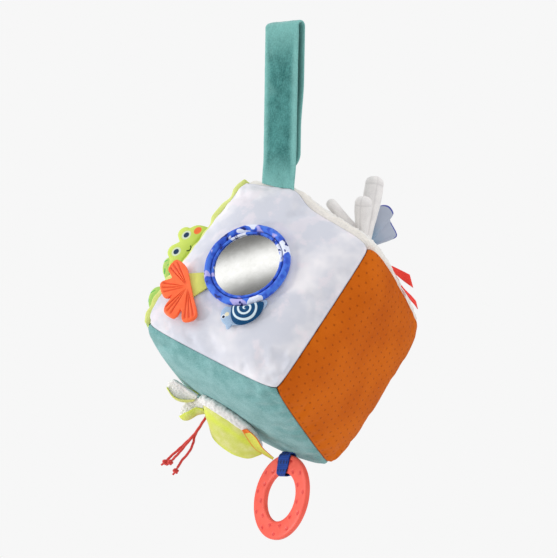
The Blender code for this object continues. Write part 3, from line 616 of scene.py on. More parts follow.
strapMesh = slabMesh("strapBand", strapLayer(-1), strapLayer(1), 26, 150, (strapSize["width"], 0.152))
strapPiece = place("strapBand", strapMesh, "strap", strapFinish, "strap", "strap_velour")
closeUp(strapPiece, 1)


def tailDepth(height):
    gone = (tailTop - height) / strapSize["tailLength"]
    share = ease((gone - strapSize["closeFrom"]) / (strapSize["closeTo"] - strapSize["closeFrom"]))
    return mix(loopRadius, closeGap - loopRadius, share)


def tailMiddle(across, along):
    straight = 0.87
    if along <= straight:
        height = mix(tailTop + 0.0004, tailBottom + strapSize["tailRound"], along / straight)
        reach = strapSize["width"] / 2
    else:
        angle = math.pi / 2 * (along - straight) / (1 - straight)
        height = tailBottom + strapSize["tailRound"] * (1 - math.sin(angle))
        reach = strapSize["width"] / 2 - strapSize["tailRound"] * (1 - math.cos(angle))
    middle = blockShape["strapLean"] * height / blockShape["strapDrop"]
    return Vector((middle + mix(-reach, reach, across), tailDepth(height), height))


def tailLayer(sign):
    def layer(across, along):
        point = tailMiddle(across, along)
        out = normalAt(tailMiddle, across, along)
        depth = bandEdge(across, strapSize["thickness"] / 2)
        depth *= mix(1, 0.4, ease((along - 0.97) / 0.03))
        return point + out * sign * (depth + 0.00025 * grain(point, 0.006, 7))
    return layer


tailMesh = slabMesh("strapTail", tailLayer(-1), tailLayer(1), 26, 110, (strapSize["width"], strapSize["tailLength"]))
tailPiece = place("strapTail", tailMesh, "strap_tail", strapFinish, "strap_tail", "strap_velour")
closeUp(tailPiece, 1)

tapeFinish = Finish("hookTape", 0.7, Sheen_Weight=0.1)
hooks = tapeFinish.cells(0.0011)
tapeFinish.colour(tapeFinish.blendColour(hooks.step(0.0, 0.7), (48, 88, 88), (82, 136, 134)))
tapeFinish.bump(hooks, 0.0004)
halfStrap = strapSize["thickness"] / 2
loopDepth = -loopRadius + halfStrap + strapSize["clearance"] + strapSize["tape"] / 2
hookDepth = loopDepth + strapSize["tape"] + strapSize["clearance"]
for name, depth, body, node in (("loopTape", loopDepth, "strap", "loop_patch"), ("hookTape", hookDepth, "strap_tail", "hook_patch")):
    tape = bmesh.new()
    bmesh.ops.create_cube(tape, size=1)
    bmesh.ops.scale(tape, verts=tape.verts[:], vec=(strapSize["tapeWidth"], strapSize["tape"], strapSize["tapeLength"]))
    bmesh.ops.bevel(tape, geom=[edge for edge in tape.edges if abs((edge.verts[0].co - edge.verts[1].co).y) > 0.0001],
                    offset=0.004, segments=5, profile=0.5, affect="EDGES", material=-1)
    bmesh.ops.bevel(tape, geom=tape.edges[:], offset=0.0002, segments=2, profile=0.5, affect="EDGES", material=-1)
    height = tailBottom + strapSize["tapeMargin"] + strapSize["tapeLength"] / 2
    bmesh.ops.translate(tape, verts=tape.verts[:], vec=(blockShape["strapLean"] * height / blockShape["strapDrop"], depth, height))
    place(name, meshOf(name, tape), body, tapeFinish, node, "hook_tape")
print("strap made")

# Block: a fill puffed by a cloth run, and six panels that follow it
puffing = {
    "cells": 40, "frames": 16, "pressure": 2.2, "grow": -0.035, "stiff": 12, "bending": 0.06,
    "outCap": 0.0009, "inCap": 0.0030, "mirrorClear": 0.041, "seamDip": 0.0010, "seamReach": 0.0018,
    "slack": (-0.0074, -0.0065, -0.0022), "slackReach": 0.5,
}


# A lattice of moves off the plain shape for each face, found by a cloth run on the closed shell
def puffedMoves():
    cells = puffing["cells"]
    moves = {face: {} for face in faceWays}
    work = bmesh.new()
    bmesh.ops.create_cube(work, size=2)
    bmesh.ops.subdivide_edges(work, edges=work.edges[:], cuts=cells - 1, use_grid_fill=True)
    units = [corner.co.copy() for corner in work.verts]
    rest = []
    for corner in work.verts:
        unit = corner.co
        face = max(faceWays, key=lambda key: unit.dot(faceWays[key][0]))
        _, rightWay, upWay = faceWays[face]
        corner.co = facePoint(face, unit.dot(rightWay), unit.dot(upWay), -0.0004)
        corner.co += Vector((grain(corner.co, 0.013, 1), grain(corner.co, 0.013, 2), grain(corner.co, 0.013, 3))) * 0.0009
        rest.append(corner.co.copy())
    shell = bpy.data.objects.new("shell", meshOf("shell", work))
    scene.collection.objects.link(shell)
    pins = shell.vertex_groups.new(name="seams")
    for index, unit in enumerate(units):
        near = sorted(abs(value) for value in unit)
        if near[1] > 0.999:
            pins.add([index], 1.0, "REPLACE")
    cloth = shell.modifiers.new("cloth", "CLOTH")
    cloth.settings.quality = 6
    cloth.settings.mass = 0.15
    cloth.settings.tension_stiffness = puffing["stiff"]
    cloth.settings.compression_stiffness = puffing["stiff"]
    cloth.settings.bending_stiffness = puffing["bending"]
    cloth.settings.use_pressure = True
    cloth.settings.uniform_pressure_force = puffing["pressure"]
    cloth.settings.shrink_min = puffing["grow"]
    cloth.settings.vertex_group_mass = "seams"
    cloth.settings.effector_weights.gravity = 0
    cloth.point_cache.frame_start = 1
    cloth.point_cache.frame_end = puffing["frames"]
    for step in range(1, puffing["frames"] + 1):
        scene.frame_set(step)
    settled = shell.evaluated_get(bpy.context.evaluated_depsgraph_get()).to_mesh()
    for index, unit in enumerate(units):
        move = settled.vertices[index].co - rest[index]
        for face, (outward, rightWay, upWay) in faceWays.items():
            if unit.dot(outward) > 0.999:
                key = (round((unit.dot(rightWay) + 1) / 2 * cells), round((unit.dot(upWay) + 1) / 2 * cells))
                moves[face][key] = move.copy()
    scene.frame_set(1)
    bpy.data.objects.remove(shell, do_unlink=True)
    return moves


puff = puffedMoves()
mirrorFrame = faceFrame("front", -0.10, 0.05, 0.0003)
bareCentres = [(mirrorFrame.translation, puffing["mirrorClear"])]


def latticeMove(face, across, along):
    moves, cells = puff[face], puffing["cells"]
    if not moves:
        return Vector((0, 0, 0))
    x, y = (across + 1) / 2 * cells, (along + 1) / 2 * cells
    i, j = min(int(x), cells - 1), min(int(y), cells - 1)
    low = mix(moves[(i, j)], moves[(i + 1, j)], x - i)
    high = mix(moves[(i, j + 1)], moves[(i + 1, j + 1)], x - i)
    return mix(low, high, y - j)


# The cloth surface of a face: the plain shape, the puffed moves and the pull of the seams
def clothPoint(face, across, along, depth=0.0):
    across, along = max(-1, min(1, across)), max(-1, min(1, along))
    outward, rightWay, upWay = faceWays[face]
    unit = outward + rightWay * across + upWay * along
    fromCorner = (unit - Vector((-1, -1, 1))).length
    point = facePoint(face, across, along) + pulledUp(unit)
    point += Vector(puffing["slack"]) * max(0, 1 - fromCorner / puffing["slackReach"]) ** 2
    inner = 0.994
    out = faceFrame(face, max(-inner, min(inner, across)), max(-inner, min(inner, along))).to_3x3().col[2]
    move = latticeMove(face, across, along).dot(out)
    toSeam = (1 - max(abs(across), abs(along))) * half
    seamRun = along if abs(across) > abs(along) else across
    pucker = 0.00055 * math.exp(-toSeam / 0.010) * math.sin(seamRun * 34 + 3 * grain(point, 0.03, 5))
    ripple = 0.0005 * grain(point, 0.022, 9) * ease(toSeam / 0.01)
    move = move * ease(toSeam / 0.002) + pucker * ease(toSeam / 0.003) + ripple
    for centre, reach in bareCentres:
        away = (point - centre).length
        if away < reach + 0.012:
            keep = ease((away - reach) / 0.012)
            move = min(move, 0) * mix(0.5, 1, keep) + max(move, 0) * keep
    move = max(-puffing["inCap"], min(puffing["outCap"], move))
    dip = puffing["seamDip"] * math.exp(-(toSeam / puffing["seamReach"]) ** 2)
    return point + out * (move - depth) + (blockCentre - point).normalized() * dip


fillMesh = bmesh.new()
bmesh.ops.create_cube(fillMesh, size=2)
bmesh.ops.subdivide_edges(fillMesh, edges=fillMesh.edges[:], cuts=19, use_grid_fill=True)
for corner in fillMesh.verts:
    unit = corner.co.copy()
    face = max(faceWays, key=lambda key: unit.dot(faceWays[key][0]))
    _, rightWay, upWay = faceWays[face]
    surface = facePoint(face, unit.dot(rightWay), unit.dot(upWay))
    corner.co = blockCentre + (surface - blockCentre) * (1 - 0.0062 / half)
fibreFinish = Finish("fibreFill", 0.95, Sheen_Weight=0.3)
fibres = fibreFinish.speckle(0.002, 4, 0.7)
fibreFinish.colour(fibreFinish.blendColour(fibres, (214, 214, 210), (245, 245, 243)))
fibreFinish.bump(fibres, 0.001)
fillPiece = place("fibreFill", meshOf("fibreFill", fillMesh), "block", fibreFinish, "fibre_fill", "polyester_fibre")

# Darker along a panel's own seams, from its map in metres
def seamShade(finish, x, y, paint, dark, reach=0.0012):
    edge = x.least(2 * half - x).least(y.least(2 * half - y))
    return finish.blendColour(edge.step(reach, reach * 0.2) * 0.6, paint, dark)


printFinish = Finish("lavenderPrint", 0.78, Sheen_Weight=0.08, Specular_IOR_Level=0.25)
wash = printFinish.speckle(0.042, 3, 0.55)
washTwo = printFinish.speckle(0.021, 4, 0.6, printFinish.place(shift=(0.3, 0.1, 0.7)))
patchEdge = printFinish.cells(0.045, vector=printFinish.place(shift=(0.02, 0.05, 0.11)), output="Distance")
paint = printFinish.blendColour(wash.step(0.38, 0.66), (208, 210, 220), (241, 238, 241))
paint = printFinish.blendColour(washTwo.step(0.52, 0.64) * 0.5, paint, (237, 227, 233))
paint = printFinish.blendColour(patchEdge.step(0.55, 0.9) * 0.35, paint, (205, 208, 219))
acrossUv, alongUv, _ = printFinish.parts(printFinish.place(uv=True))
threads = ((acrossUv * 9000).sin() * (alongUv * 9000).sin()) * 0.5 + 0.5
printFinish.colour(seamShade(printFinish, acrossUv, alongUv, paint, (150, 150, 170)))
printFinish.bump(threads * 0.3 + printFinish.speckle(0.0012, 2) * 0.7, 0.0002, 0.5)

meshFinish = Finish("orangeMesh", 0.7, Specular_IOR_Level=0.12)
holes = {"pitch": 0.0088, "rise": 0.0064, "size": 0.00085}
acrossUv, alongUv, _ = meshFinish.parts(meshFinish.place(uv=True))
rowOf = (alongUv / holes["rise"]).floor()
offAcross = ((acrossUv / holes["pitch"] + rowOf * 0.5).fract() - 0.5) * holes["pitch"]
offAlong = ((alongUv / holes["rise"]).fract() - 0.5) * holes["rise"]
dimple = (offAcross * offAcross * 0.8 + offAlong * offAlong * 1.5).root().step(holes["size"] * 1.6, holes["size"] * 0.5)
knit = ((acrossUv * (6.283 / 0.0013)).sin() * (alongUv * (6.283 / 0.0011)).sin()) * 0.5 + 0.5
tone = meshFinish.speckle(0.05, 2)
cloth = meshFinish.blendColour(tone.step(0.3, 0.7) * 0.6 + knit * 0.4, (190, 85, 0), (216, 108, 8))
# Painted shade in the dimples: each dimple is darkened towards (148, 60, 4)
cloth = meshFinish.blendColour(dimple * 0.5, cloth, (148, 60, 4))
meshFinish.colour(seamShade(meshFinish, acrossUv, alongUv, cloth, (120, 50, 8), 0.0009))
meshFinish.bump(knit * 0.15 - dimple, 0.0005, 0.8)

tealFinish = velour("tealVelour", (144, 190, 190), (94, 150, 148), 0.0009, 0.25, 0.014)
limeFinish = wovenCloth("limeCotton", (224, 232, 150), (206, 216, 120))
plushFinish = Finish("whitePlush", 0.95, Sheen_Weight=0.4, Sheen_Roughness=0.5, Specular_IOR_Level=0.1)
curl = plushFinish.speckle(0.0016, 4, 0.65)
acrossUv, alongUv, _ = plushFinish.parts(plushFinish.place(uv=True))
plushEdge = acrossUv.least(2 * half - acrossUv).least(alongUv.least(2 * half - alongUv))
paint = plushFinish.blendColour(plushEdge.step(0.004, 0.011), (241, 236, 228), (247, 246, 243))
plushFinish.colour(plushFinish.blendColour(curl.step(0.28, 0.62), (230, 226, 220), paint))
plushFinish.bump(curl, 0.0010, 0.8)

panels = {
    "front": (printFinish, "lavender_print", 72, 1), "right": (meshFinish, "orange_mesh", 72, 1),
    "left": (limeFinish, "lime_cotton", 64, 1), "bottom": (tealFinish, "teal_velour", 64, 1),
    "back": (printFinish, "lavender_print", 56, 1), "top": (plushFinish, "white_plush", 170, 0),
}


# Rows crowd towards the seams
def edgeCrowd(share):
    place = 2 * share - 1
    return (math.sin(place * math.pi / 2) * 0.55 + place * 0.45 + 1) / 2


def panelSurface(face):
    def surface(across, along):
        across, along = 2 * across - 1, 2 * along - 1
        point = clothPoint(face, across, along)
        if face not in ("top", "left"):
            return point
        toSeam = (1 - max(abs(across), abs(along))) * half
        inner = 0.994
        out = faceFrame(face, max(-inner, min(inner, across)), max(-inner, min(inner, along))).to_3x3().col[2]
        edge = ease(toSeam / 0.0018)
        if face == "left":
            roll = 0.0030 * math.exp(-(((1 - across) * half - 0.0036) / 0.0028) ** 2)
            bare = ease((along + 0.40) / 0.10) * ease((0.37 - along) / 0.06)
            return point + out * edge * roll * (1 - bare)
        tuft = abs(grain(point, 0.0030, 11)) + 0.6 * abs(grain(point, 0.0016, 12))
        roll = 0.0018 * math.exp(-((toSeam - 0.0035) / 0.0026) ** 2)
        tufted = ease((toSeam - 0.004) / 0.008)
        low = mix(0.25, 1, ease((1 - across) * half / 0.016)) * ease(math.hypot(across + 1, along + 1) / 0.4)
        low *= 1 - ease((-0.08 - across) / 0.12) * ease((-0.84 - along) / 0.08)
        return point + out * low * (edge * (0.0008 + roll) + 0.0018 * tuft * edge * (0.25 + 0.75 * tufted))
    return surface


for face, (finish, slotName, cells, levels) in panels.items():
    panelMesh = gridMesh(face + "Cloth", panelSurface(face), cells, cells, (2 * half, 2 * half), spread=edgeCrowd)
    panelPiece = place(face + "Cloth", panelMesh, "block", finish, face + "_panel", slotName)
    closeUp(panelPiece, levels, 0.0014, -1.0)
print("block made")

markNode = {"attribute_name": "mark"}

# Mirror: a silvered film crowned a little by its backing, inside a padded print rim
mirror = {"radius": 0.0299, "height": 0.0023, "half": 0.00048, "crown": 0.0009}
filmFinish = Finish("mirrorFilm", 0.1, Metallic=1.0)
filmHaze = filmFinish.speckle(0.009, 3, 0.6)
filmFinish.colour(filmFinish.blendColour(filmHaze.step(0.3, 0.7), (228, 228, 226), (238, 238, 237)))
filmFinish.rough(filmFinish.speckle(0.02, 2) * 0.03 + 0.09)
filmFinish.bump(filmFinish.speckle(0.016, 2), 0.00003, 0.5)


def onMirror(x, y, height):
    return mirrorFrame @ Vector((x, y, height))


def filmSpot(x, y, height):
    crown = mirror["crown"] * (1 - (x * x + y * y) / mirror["radius"] ** 2)
    return onMirror(x, y, mirror["height"] + crown + height)


def circleOutline(radius):
    return lambda share: Vector((math.cos(2 * math.pi * share), math.sin(2 * math.pi * share))) * radius


filmMesh = padMesh("mirrorFilm", circleOutline(mirror["radius"]), Vector((0, 0)), filmSpot,
                   lambda flat, ring, side: mirror["half"] * rounded(ring, 0.02), 128, 36)
place("mirrorFilm", filmMesh, "block", filmFinish, "mirror_plate", "mirror_film")
backingFinish = Finish("backingSheet", 0.7)
backingFinish.colour(backingFinish.blendColour(backingFinish.speckle(0.003, 3), (128, 128, 130), (150, 150, 152)))
backingFinish.bump(backingFinish.speckle(0.0015), 0.0001)
bpy.data.objects["mirror_backing"].material_slots[0].material = backingFinish.material

rim = {
    "section": (
        (28.5, 3.12), (28.4, 3.7), (28.9, 4.35), (29.7, 4.55), (30.5, 4.25), (31.1, 3.0), (31.7, 3.8), (32.7, 5.4),
        (34.3, 6.1), (35.9, 5.6), (37.0, 4.1), (37.3, 2.3), (36.8, 0.9), (35.6, 0.35), (33.0, 0.33), (30.8, 0.35),
        (30.45, 1.2), (30.45, 2.5), (30.2, 3.05), (29.3, 3.1)),
    "groove": 5.0, "wrinkle": 0.00032, "stitch": 0.0021,
    "blue": (44, 84, 200), "lightBlue": (66, 116, 224), "lilac": (178, 172, 232), "pale": (224, 230, 248), "dark": (22, 40, 120),
}
rimSection = loopOf(rim["section"])


def rimSurface(across, along):
    bearing = 2 * math.pi * across
    flat = rimSection(along)
    way = Vector((math.cos(bearing), math.sin(bearing), 0))
    wrinkle = grain(way * 0.034 + Vector((0, 0, along * 0.02)), 0.0042, 4) + 0.5 * grain(way * 0.034, 0.0017, 6)
    high = ease((flat.y - 0.002) / 0.002)
    sectionStep = along * len(rim["section"])
    stitched = math.exp(-((sectionStep - rim["groove"]) / 0.45) ** 2)
    pit = 0.00032 * stitched * (0.5 + 0.5 * math.sin(bearing * 0.031 / rim["stitch"] * 2 * math.pi))
    reach = flat.x + 0.0004 * high * grain(way * 0.05, 0.012, 8) * (1 if flat.x > 0.032 else 0.3)
    return onMirror(way.x * reach, way.y * reach, flat.y + rim["wrinkle"] * wrinkle * high - pit)


def rimMark(across, along):
    sectionStep = along * len(rim["section"])
    return math.exp(-((sectionStep - rim["groove"]) / 0.4) ** 2)


rimFinish = Finish("rimPrint", 0.72, Sheen_Weight=0.12, Specular_IOR_Level=0.3)
swash = rimFinish.speckle(0.017, 1.2, 0.4)
splash = rimFinish.speckle(0.015, 1.8, 0.5, rimFinish.place(shift=(0.21, 0.05, 0.4)))
dabs = rimFinish.speckle(0.0055, 1.5, 0.4, rimFinish.place(shift=(0.5, 0.3, 0.1)))
paint = rimFinish.blendColour(dabs.step(0.42, 0.60), rim["blue"], rim["lightBlue"])
paint = rimFinish.blendColour(swash.step(0.56, 0.58), paint, rim["lilac"])
paint = rimFinish.blendColour(splash.step(0.615, 0.635), paint, rim["pale"])
paint = rimFinish.blendColour(dabs.step(0.36, 0.335), paint, rim["dark"])
stitchMark = rimFinish.value("ShaderNodeAttribute", markNode, output=2)
rimFinish.colour(rimFinish.blendColour(stitchMark * 0.8, paint, (22, 36, 104)))
rimFinish.bump(rimFinish.speckle(0.0009, 2), 0.00015, 0.6)
rimMesh = gridMesh("mirrorRim", rimSurface, 420, 48, (0.2136, 0.03), rimMark, merge=True)
rimPiece = place("mirrorRim", rimMesh, "block", rimFinish, "mirror_rim", "rim_print")
print("mirror made")

# Foot: a lime ribbon out of the rim and a ribbed rubber foot on its end
foot = {
    "bearing": math.radians(228.6), "start": 0.0376, "ribbonReach": 0.0135, "ribbonWidths": (0.015, 0.024),
    "lift": 0.0003, "ribbonHalf": 0.0005, "half": 0.0016, "heel": (-33.5, -40.5),
    "outline": (
        (-40.8, -30.6), (-46.5, -26.6), (-53.8, -24.7), (-58.4, -25.2), (-60.7, -28.4), (-61.2, -32.8), (-59.6, -36.4),
        (-54.5, -38.9), (-52.0, -40.9), (-54.2, -43.9), (-57.4, -47.4), (-57.2, -50.6), (-53.0, -54.6), (-46.6, -58.0),
        (-43.2, -57.2), (-41.2, -53.4), (-40.2, -58.4), (-39.9, -64.8), (-37.2, -68.6), (-31.0, -69.9), (-26.0, -69.3),
        (-24.7, -66.0), (-25.4, -60.4), (-22.4, -62.0), (-18.6, -66.6), (-14.6, -67.0), (-10.0, -63.0), (-8.9, -58.2),
        (-12.1, -54.0), (-19.1, -48.6), (-22.3, -46.3), (-28.3, -41.2), (-34.6, -35.9)),
    "grooves": (149, 157, 165, 199, 210, 221, 258, 267, 276, 305, 312.5, 320), "depth": 0.00085, "colour": (255, 116, 66),
}
footFlatCentre = Vector(foot["heel"]) / 1000


def footGroove(flat, ring):
    away = flat - footFlatCentre
    bearing = math.degrees(math.atan2(away.y, away.x)) % 360
    reach = ease((away.length - 0.002) / 0.005) * (1 - ease((ring - 0.86) / 0.09))
    width = 2.1 * (0.75 + 0.25 * min(1, away.length / 0.02))
    return reach * max(math.exp(-((bearing - groove) / width) ** 2) for groove in foot["grooves"])


def footRise(flat, ring, side):
    away = (flat - footFlatCentre).length
    plump = 0.00018 * math.sin(away * 2600) * ease(away / 0.008) * (1 - ring) ** 2
    return foot["half"] * rounded(ring, 0.07) + (plump - foot["depth"] * footGroove(flat, ring) if side > 0 else 0)


rubberFinish = Finish("footRubber", 0.5, Specular_IOR_Level=0.3)
rubberGroove = rubberFinish.value("ShaderNodeAttribute", markNode, output=2)
rubberCloud = rubberFinish.speckle(0.008, 3)
paint = rubberFinish.blendColour(rubberCloud.step(0.3, 0.7), (250, 104, 56), foot["colour"])
# Painted shade in the grooves: the groove mark darkens the rubber towards (226, 66, 28)
rubberFinish.colour(rubberFinish.blendColour(rubberGroove * 0.75, paint, (226, 66, 28)))
rubberFinish.bump(rubberFinish.speckle(0.0006, 2), 0.00005, 0.5)
rubberFinish.rough(rubberFinish.speckle(0.004, 2) * 0.12 + 0.42)
footMesh = padMesh("webbedFoot", loopOf(foot["outline"]), footFlatCentre,
                   lambda x, y, height: onMirror(x, y, foot["lift"] + foot["half"] + height),
                   footRise, 396, 44, lambda flat, ring, side: footGroove(flat, ring) if side > 0 else 0)
place("webbedFoot", footMesh, "foot", rubberFinish, "webbed_foot", "orange_rubber")

footWay = Vector((math.cos(foot["bearing"]), math.sin(foot["bearing"])))
footSide = Vector((footWay.y, -footWay.x))


def footRibbon(height):
    def surface(across, along):
        flat = footWay * (foot["start"] - 0.0010 + (foot["ribbonReach"] + 0.0012) * along)
        flat = flat + footSide * (across - 0.5) * mix(*foot["ribbonWidths"], along)
        bow = 0.0004 * math.sin(math.pi * along) * math.sin(math.pi * across) + 0.0002 * grain(Vector((*flat, 0)), 0.006, 2)
        return onMirror(flat.x, flat.y, foot["lift"] + foot["ribbonHalf"] + bow + height)
    return surface


ribbonFinish = grosgrain("ribbonLime", (226, 226, 122), (210, 210, 100), 0.0008)
footRibbonMesh = slabMesh("footRibbon", footRibbon(-foot["ribbonHalf"]), footRibbon(foot["ribbonHalf"]), 24, 16, (0.02, 0.0135))
footRibbonPiece = place("footRibbon", footRibbonMesh, "foot", ribbonFinish, "foot_ribbon", "ribbon_lime")
print("foot made")

# Snail: a flat blue body with a printed eye and a domed shell with a printed spiral
snail = {
    "body": (
        (10.6, -36.9), (7.4, -38.4), (6.3, -42.6), (8.4, -47.2), (12.8, -50.8), (17.2, -51.9), (20.4, -54.2), (22.0, -53.6),
        (21.9, -50.6), (23.6, -48.6), (28.0, -46.4), (33.0, -42.0), (36.0, -35.0), (37.2, -27.0), (37.3, -20.4), (36.0, -17.9),
        (33.6, -17.4), (31.5, -20.8), (26.5, -27.4), (19.0, -33.2)),
    "bodyLift": 0.0011, "bodyHalf": 0.0008,
    "shell": (
        (12.6, -36.0), (14.2, -39.6), (17.0, -43.4), (21.8, -46.6), (27.6, -46.9), (32.8, -43.4), (36.8, -37.6), (38.6, -30.8),
        (37.6, -25.0), (34.0, -20.2), (29.9, -23.3), (24.6, -28.9), (18.2, -33.4)),
    "shellLift": 0.0023, "shellHigh": 0.0044, "centre": (0.0262, -0.0322), "turnGap": 0.00475, "line": 0.00082,
    "blue": (22, 78, 122), "pale": (214, 232, 240), "skin": (170, 195, 222),
}
shellFinish = Finish("shellBlue", 0.85, Sheen_Weight=0.06, Specular_IOR_Level=0.12)
shellX, shellY, _ = shellFinish.parts(shellFinish.place(uv=True))
shellX, shellY = shellX - snail["centre"][0], shellY - snail["centre"][1]
shellReach = (shellX * shellX + shellY * shellY).root()
shellAngle = shellFinish.value("ShaderNodeMath", {"operation": "ARCTAN2"}, shellY, shellX)
winding = (shellReach / snail["turnGap"] + shellAngle / (2 * math.pi) + 0.544).fract() - 0.5
spiral = abs(winding * snail["turnGap"]).step(snail["line"] * 1.25, snail["line"] * 0.8)
spiral = spiral * shellReach.step(0.0122, 0.0116) * shellReach.step(0.0008, 0.0014)
shellWeave = shellFinish.speckle(0.0010, 3)
paint = shellFinish.blendColour(shellWeave.step(0.3, 0.7), (16, 66, 108), snail["blue"])
shellFinish.colour(shellFinish.blendColour(spiral, paint, snail["pale"]))
shellFinish.bump(shellWeave + spiral * 0.5, 0.00025, 0.7)

skinFinish = Finish("snailBlue", 0.8, Sheen_Weight=0.2, Specular_IOR_Level=0.2)
skinX, skinY, _ = skinFinish.parts(skinFinish.place(uv=True))


def printedSpot(finish, x, y, middle, radius, soft=0.12):
    offX, offY = x - middle[0], y - middle[1]
    return (offX * offX + offY * offY).root().step(radius * (1 + soft), radius * (1 - soft))


skinWeave = skinFinish.speckle(0.0009, 3)
paint = skinFinish.blendColour(skinWeave.step(0.3, 0.7), (156, 182, 212), snail["skin"])
paint = skinFinish.blendColour(printedSpot(skinFinish, skinX, skinY, (0.0128, -0.0436), 0.0019), paint, (236, 228, 196))
paint = skinFinish.blendColour(printedSpot(skinFinish, skinX, skinY, (0.0114, -0.0468), 0.0019), paint, (232, 238, 246))
paint = skinFinish.blendColour(printedSpot(skinFinish, skinX, skinY, (0.0116, -0.0470), 0.00125), paint, (18, 30, 62))
skinFinish.colour(paint)
skinFinish.bump(skinWeave, 0.0002, 0.7)
snailBody = padMesh("snailBody", loopOf(snail["body"]), Vector((0.0225, -0.0375)),
                    lambda x, y, height: onMirror(x, y, snail["bodyLift"] + height),
                    lambda flat, ring, side: snail["bodyHalf"] * rounded(ring, 0.12), 200, 20)
snailBodyPiece = place("snailBody", snailBody, "snail", skinFinish, "snail_body", "snail_blue")


def shellRise(flat, ring, side):
    if side < 0:
        return 0.0
    seam = 0.0005 * math.exp(-((ring - 0.86) / 0.03) ** 2)
    return snail["shellHigh"] * (1 - ring ** 3.2) ** 0.6 - seam


snailShell = padMesh("snailShell", loopOf(snail["shell"]), Vector((0.0262, -0.0340)),
                     lambda x, y, height: onMirror(x, y, snail["shellLift"] + height), shellRise, 156, 36)
snailShellPiece = place("snailShell", snailShell, "snail", shellFinish, "snail_shell", "shell_blue")
print("snail made")

# Frog and leaves stand on the left panel
frog = {
    "seat": (0.75, 0.016), "half": 0.003, "seam": 0.0005, "swell": 0.45,
    "outline": (
        (23.4, 0.6), (23.2, 4.0), (22.6, 9.6), (21.2, 14.4), (18.8, 17.3), (16.8, 19.0), (16.2, 22.4), (14.0, 25.2),
        (10.8, 26.0), (7.6, 24.6), (5.2, 21.6), (3.3, 19.1), (0.6, 20.6), (-2.8, 23.2), (-6.4, 23.4), (-9.4, 21.6),
        (-11.4, 18.4), (-13.4, 15.4), (-17.4, 13.4), (-20.4, 9.2), (-20.8, 4.0), (-20.2, 0.6), (-10.0, 0.5), (2.0, 0.5), (14.0, 0.5)),
    "eyes": ((0.0097, 0.0165), (-0.0056, 0.0146)), "cheeks": ((0.0167, 0.0099), (-0.0142, 0.0078)),
    "smile": (0.0010, 0.0066), "green": (204, 222, 106), "shade": (172, 196, 78),
}


def standing(seat, seam, swell):
    def put(x, y, height):
        swelled = math.copysign(min(abs(height), seam + swell * max(0, y)), height)
        return facePoint("left", seat[0] + swelled / half, seat[1] + x / half, max(y, 0.0006))
    return put


frogFinish = Finish("frogGreen", 0.82, Sheen_Weight=0.15, Specular_IOR_Level=0.2)
frogX, frogY, _ = frogFinish.parts(frogFinish.place(uv=True))
frogWeave = frogFinish.speckle(0.0011, 3)
lightness = (frogY / 0.026 * 0.75 + frogFinish.speckle(0.012, 2) * 0.5).step(0.1, 0.95)
paint = frogFinish.blendColour(lightness, frog["shade"], frog["green"])
for cheek in frog["cheeks"]:
    paint = frogFinish.blendColour(printedSpot(frogFinish, frogX, frogY, cheek, 0.0033, 0.05), paint, (238, 112, 58))
for eye in frog["eyes"]:
    paint = frogFinish.blendColour(printedSpot(frogFinish, frogX, frogY, eye, 0.0039, 0.14), paint, (208, 220, 196))
    paint = frogFinish.blendColour(printedSpot(frogFinish, frogX, frogY, eye, 0.0024, 0.06), paint, (24, 54, 92))
smileX, smileY = frogX - frog["smile"][0], frogY - frog["smile"][1]
smileReach = (smileX * smileX + smileY * smileY).root()
smile = abs(smileReach - 0.0023).step(0.00062, 0.00035) * smileY.step(0.0004, -0.0004)
frogFinish.colour(frogFinish.blendColour(smile, paint, (52, 74, 40)))
frogFinish.bump(frogWeave, 0.0002, 0.7)


def frogRise(flat, ring, side):
    return frog["half"] * (0.25 + 0.75 * math.sqrt(max(0, 1 - ring ** 4))) * rounded(ring, 0.06)


frogMesh = padMesh("frogHead", loopOf(frog["outline"]), Vector((0.002, 0.0085)),
                   standing(frog["seat"], frog["seam"], frog["swell"]), frogRise, 300, 28)
frogPiece = place("frogHead", frogMesh, "frog", frogFinish, "frog_head", "frog_green")

leaves = {
    "near": {"seat": (0.62, -0.265), "centre": (3.0, 9.0), "outline": (
        (-8.5, 0.6), (-8.6, 5.0), (-6.4, 10.4), (-3.2, 15.4), (-0.4, 19.4), (3.4, 22.6), (8.0, 24.4), (11.6, 23.4),
        (13.4, 19.4), (13.2, 12.0), (11.8, 5.0), (10.0, 0.6), (1.0, 0.5))},
    "middle": {"seat": (0.75, -0.66), "centre": (4.0, 5.0), "outline": (
        (-8.0, 0.6), (-7.2, 4.6), (-4.4, 8.6), (0.4, 12.0), (5.8, 13.5), (10.8, 12.6), (14.0, 9.0), (14.4, 3.8), (13.4, 0.6),
        (3.0, 0.5))},
    "far": {"seat": (0.75, -0.905), "centre": (3.0, 2.6), "outline": (
        (-3.8, 0.6), (-2.8, 3.4), (0.4, 6.0), (4.0, 6.8), (7.4, 5.4), (9.0, 2.6), (8.6, 0.6), (3.0, 0.5))},
}
leafHalf = 0.0007
leafFinish = Finish("leafGreen", 0.82, Sheen_Weight=0.15, Specular_IOR_Level=0.2)
leafX, leafY, _ = leafFinish.parts(leafFinish.place(uv=True))
leafTone = (leafY / 0.016 + leafFinish.speckle(0.008, 2) * 0.6).step(0.2, 1.3)
paint = leafFinish.blendColour(leafTone, (118, 182, 74), (186, 216, 118))
veinRow = ((leafY + abs(leafX - 0.004) * 0.7) / 0.0058).fract() - 0.5
vein = abs(veinRow).step(0.12, 0.07) * abs(abs(leafX - 0.004) - 0.0036).step(0.0024, 0.0018)
leafFinish.colour(leafFinish.blendColour(vein, paint, (74, 186, 92)))
leafFinish.bump(leafFinish.speckle(0.001, 3) + vein * 0.4, 0.0002, 0.7)
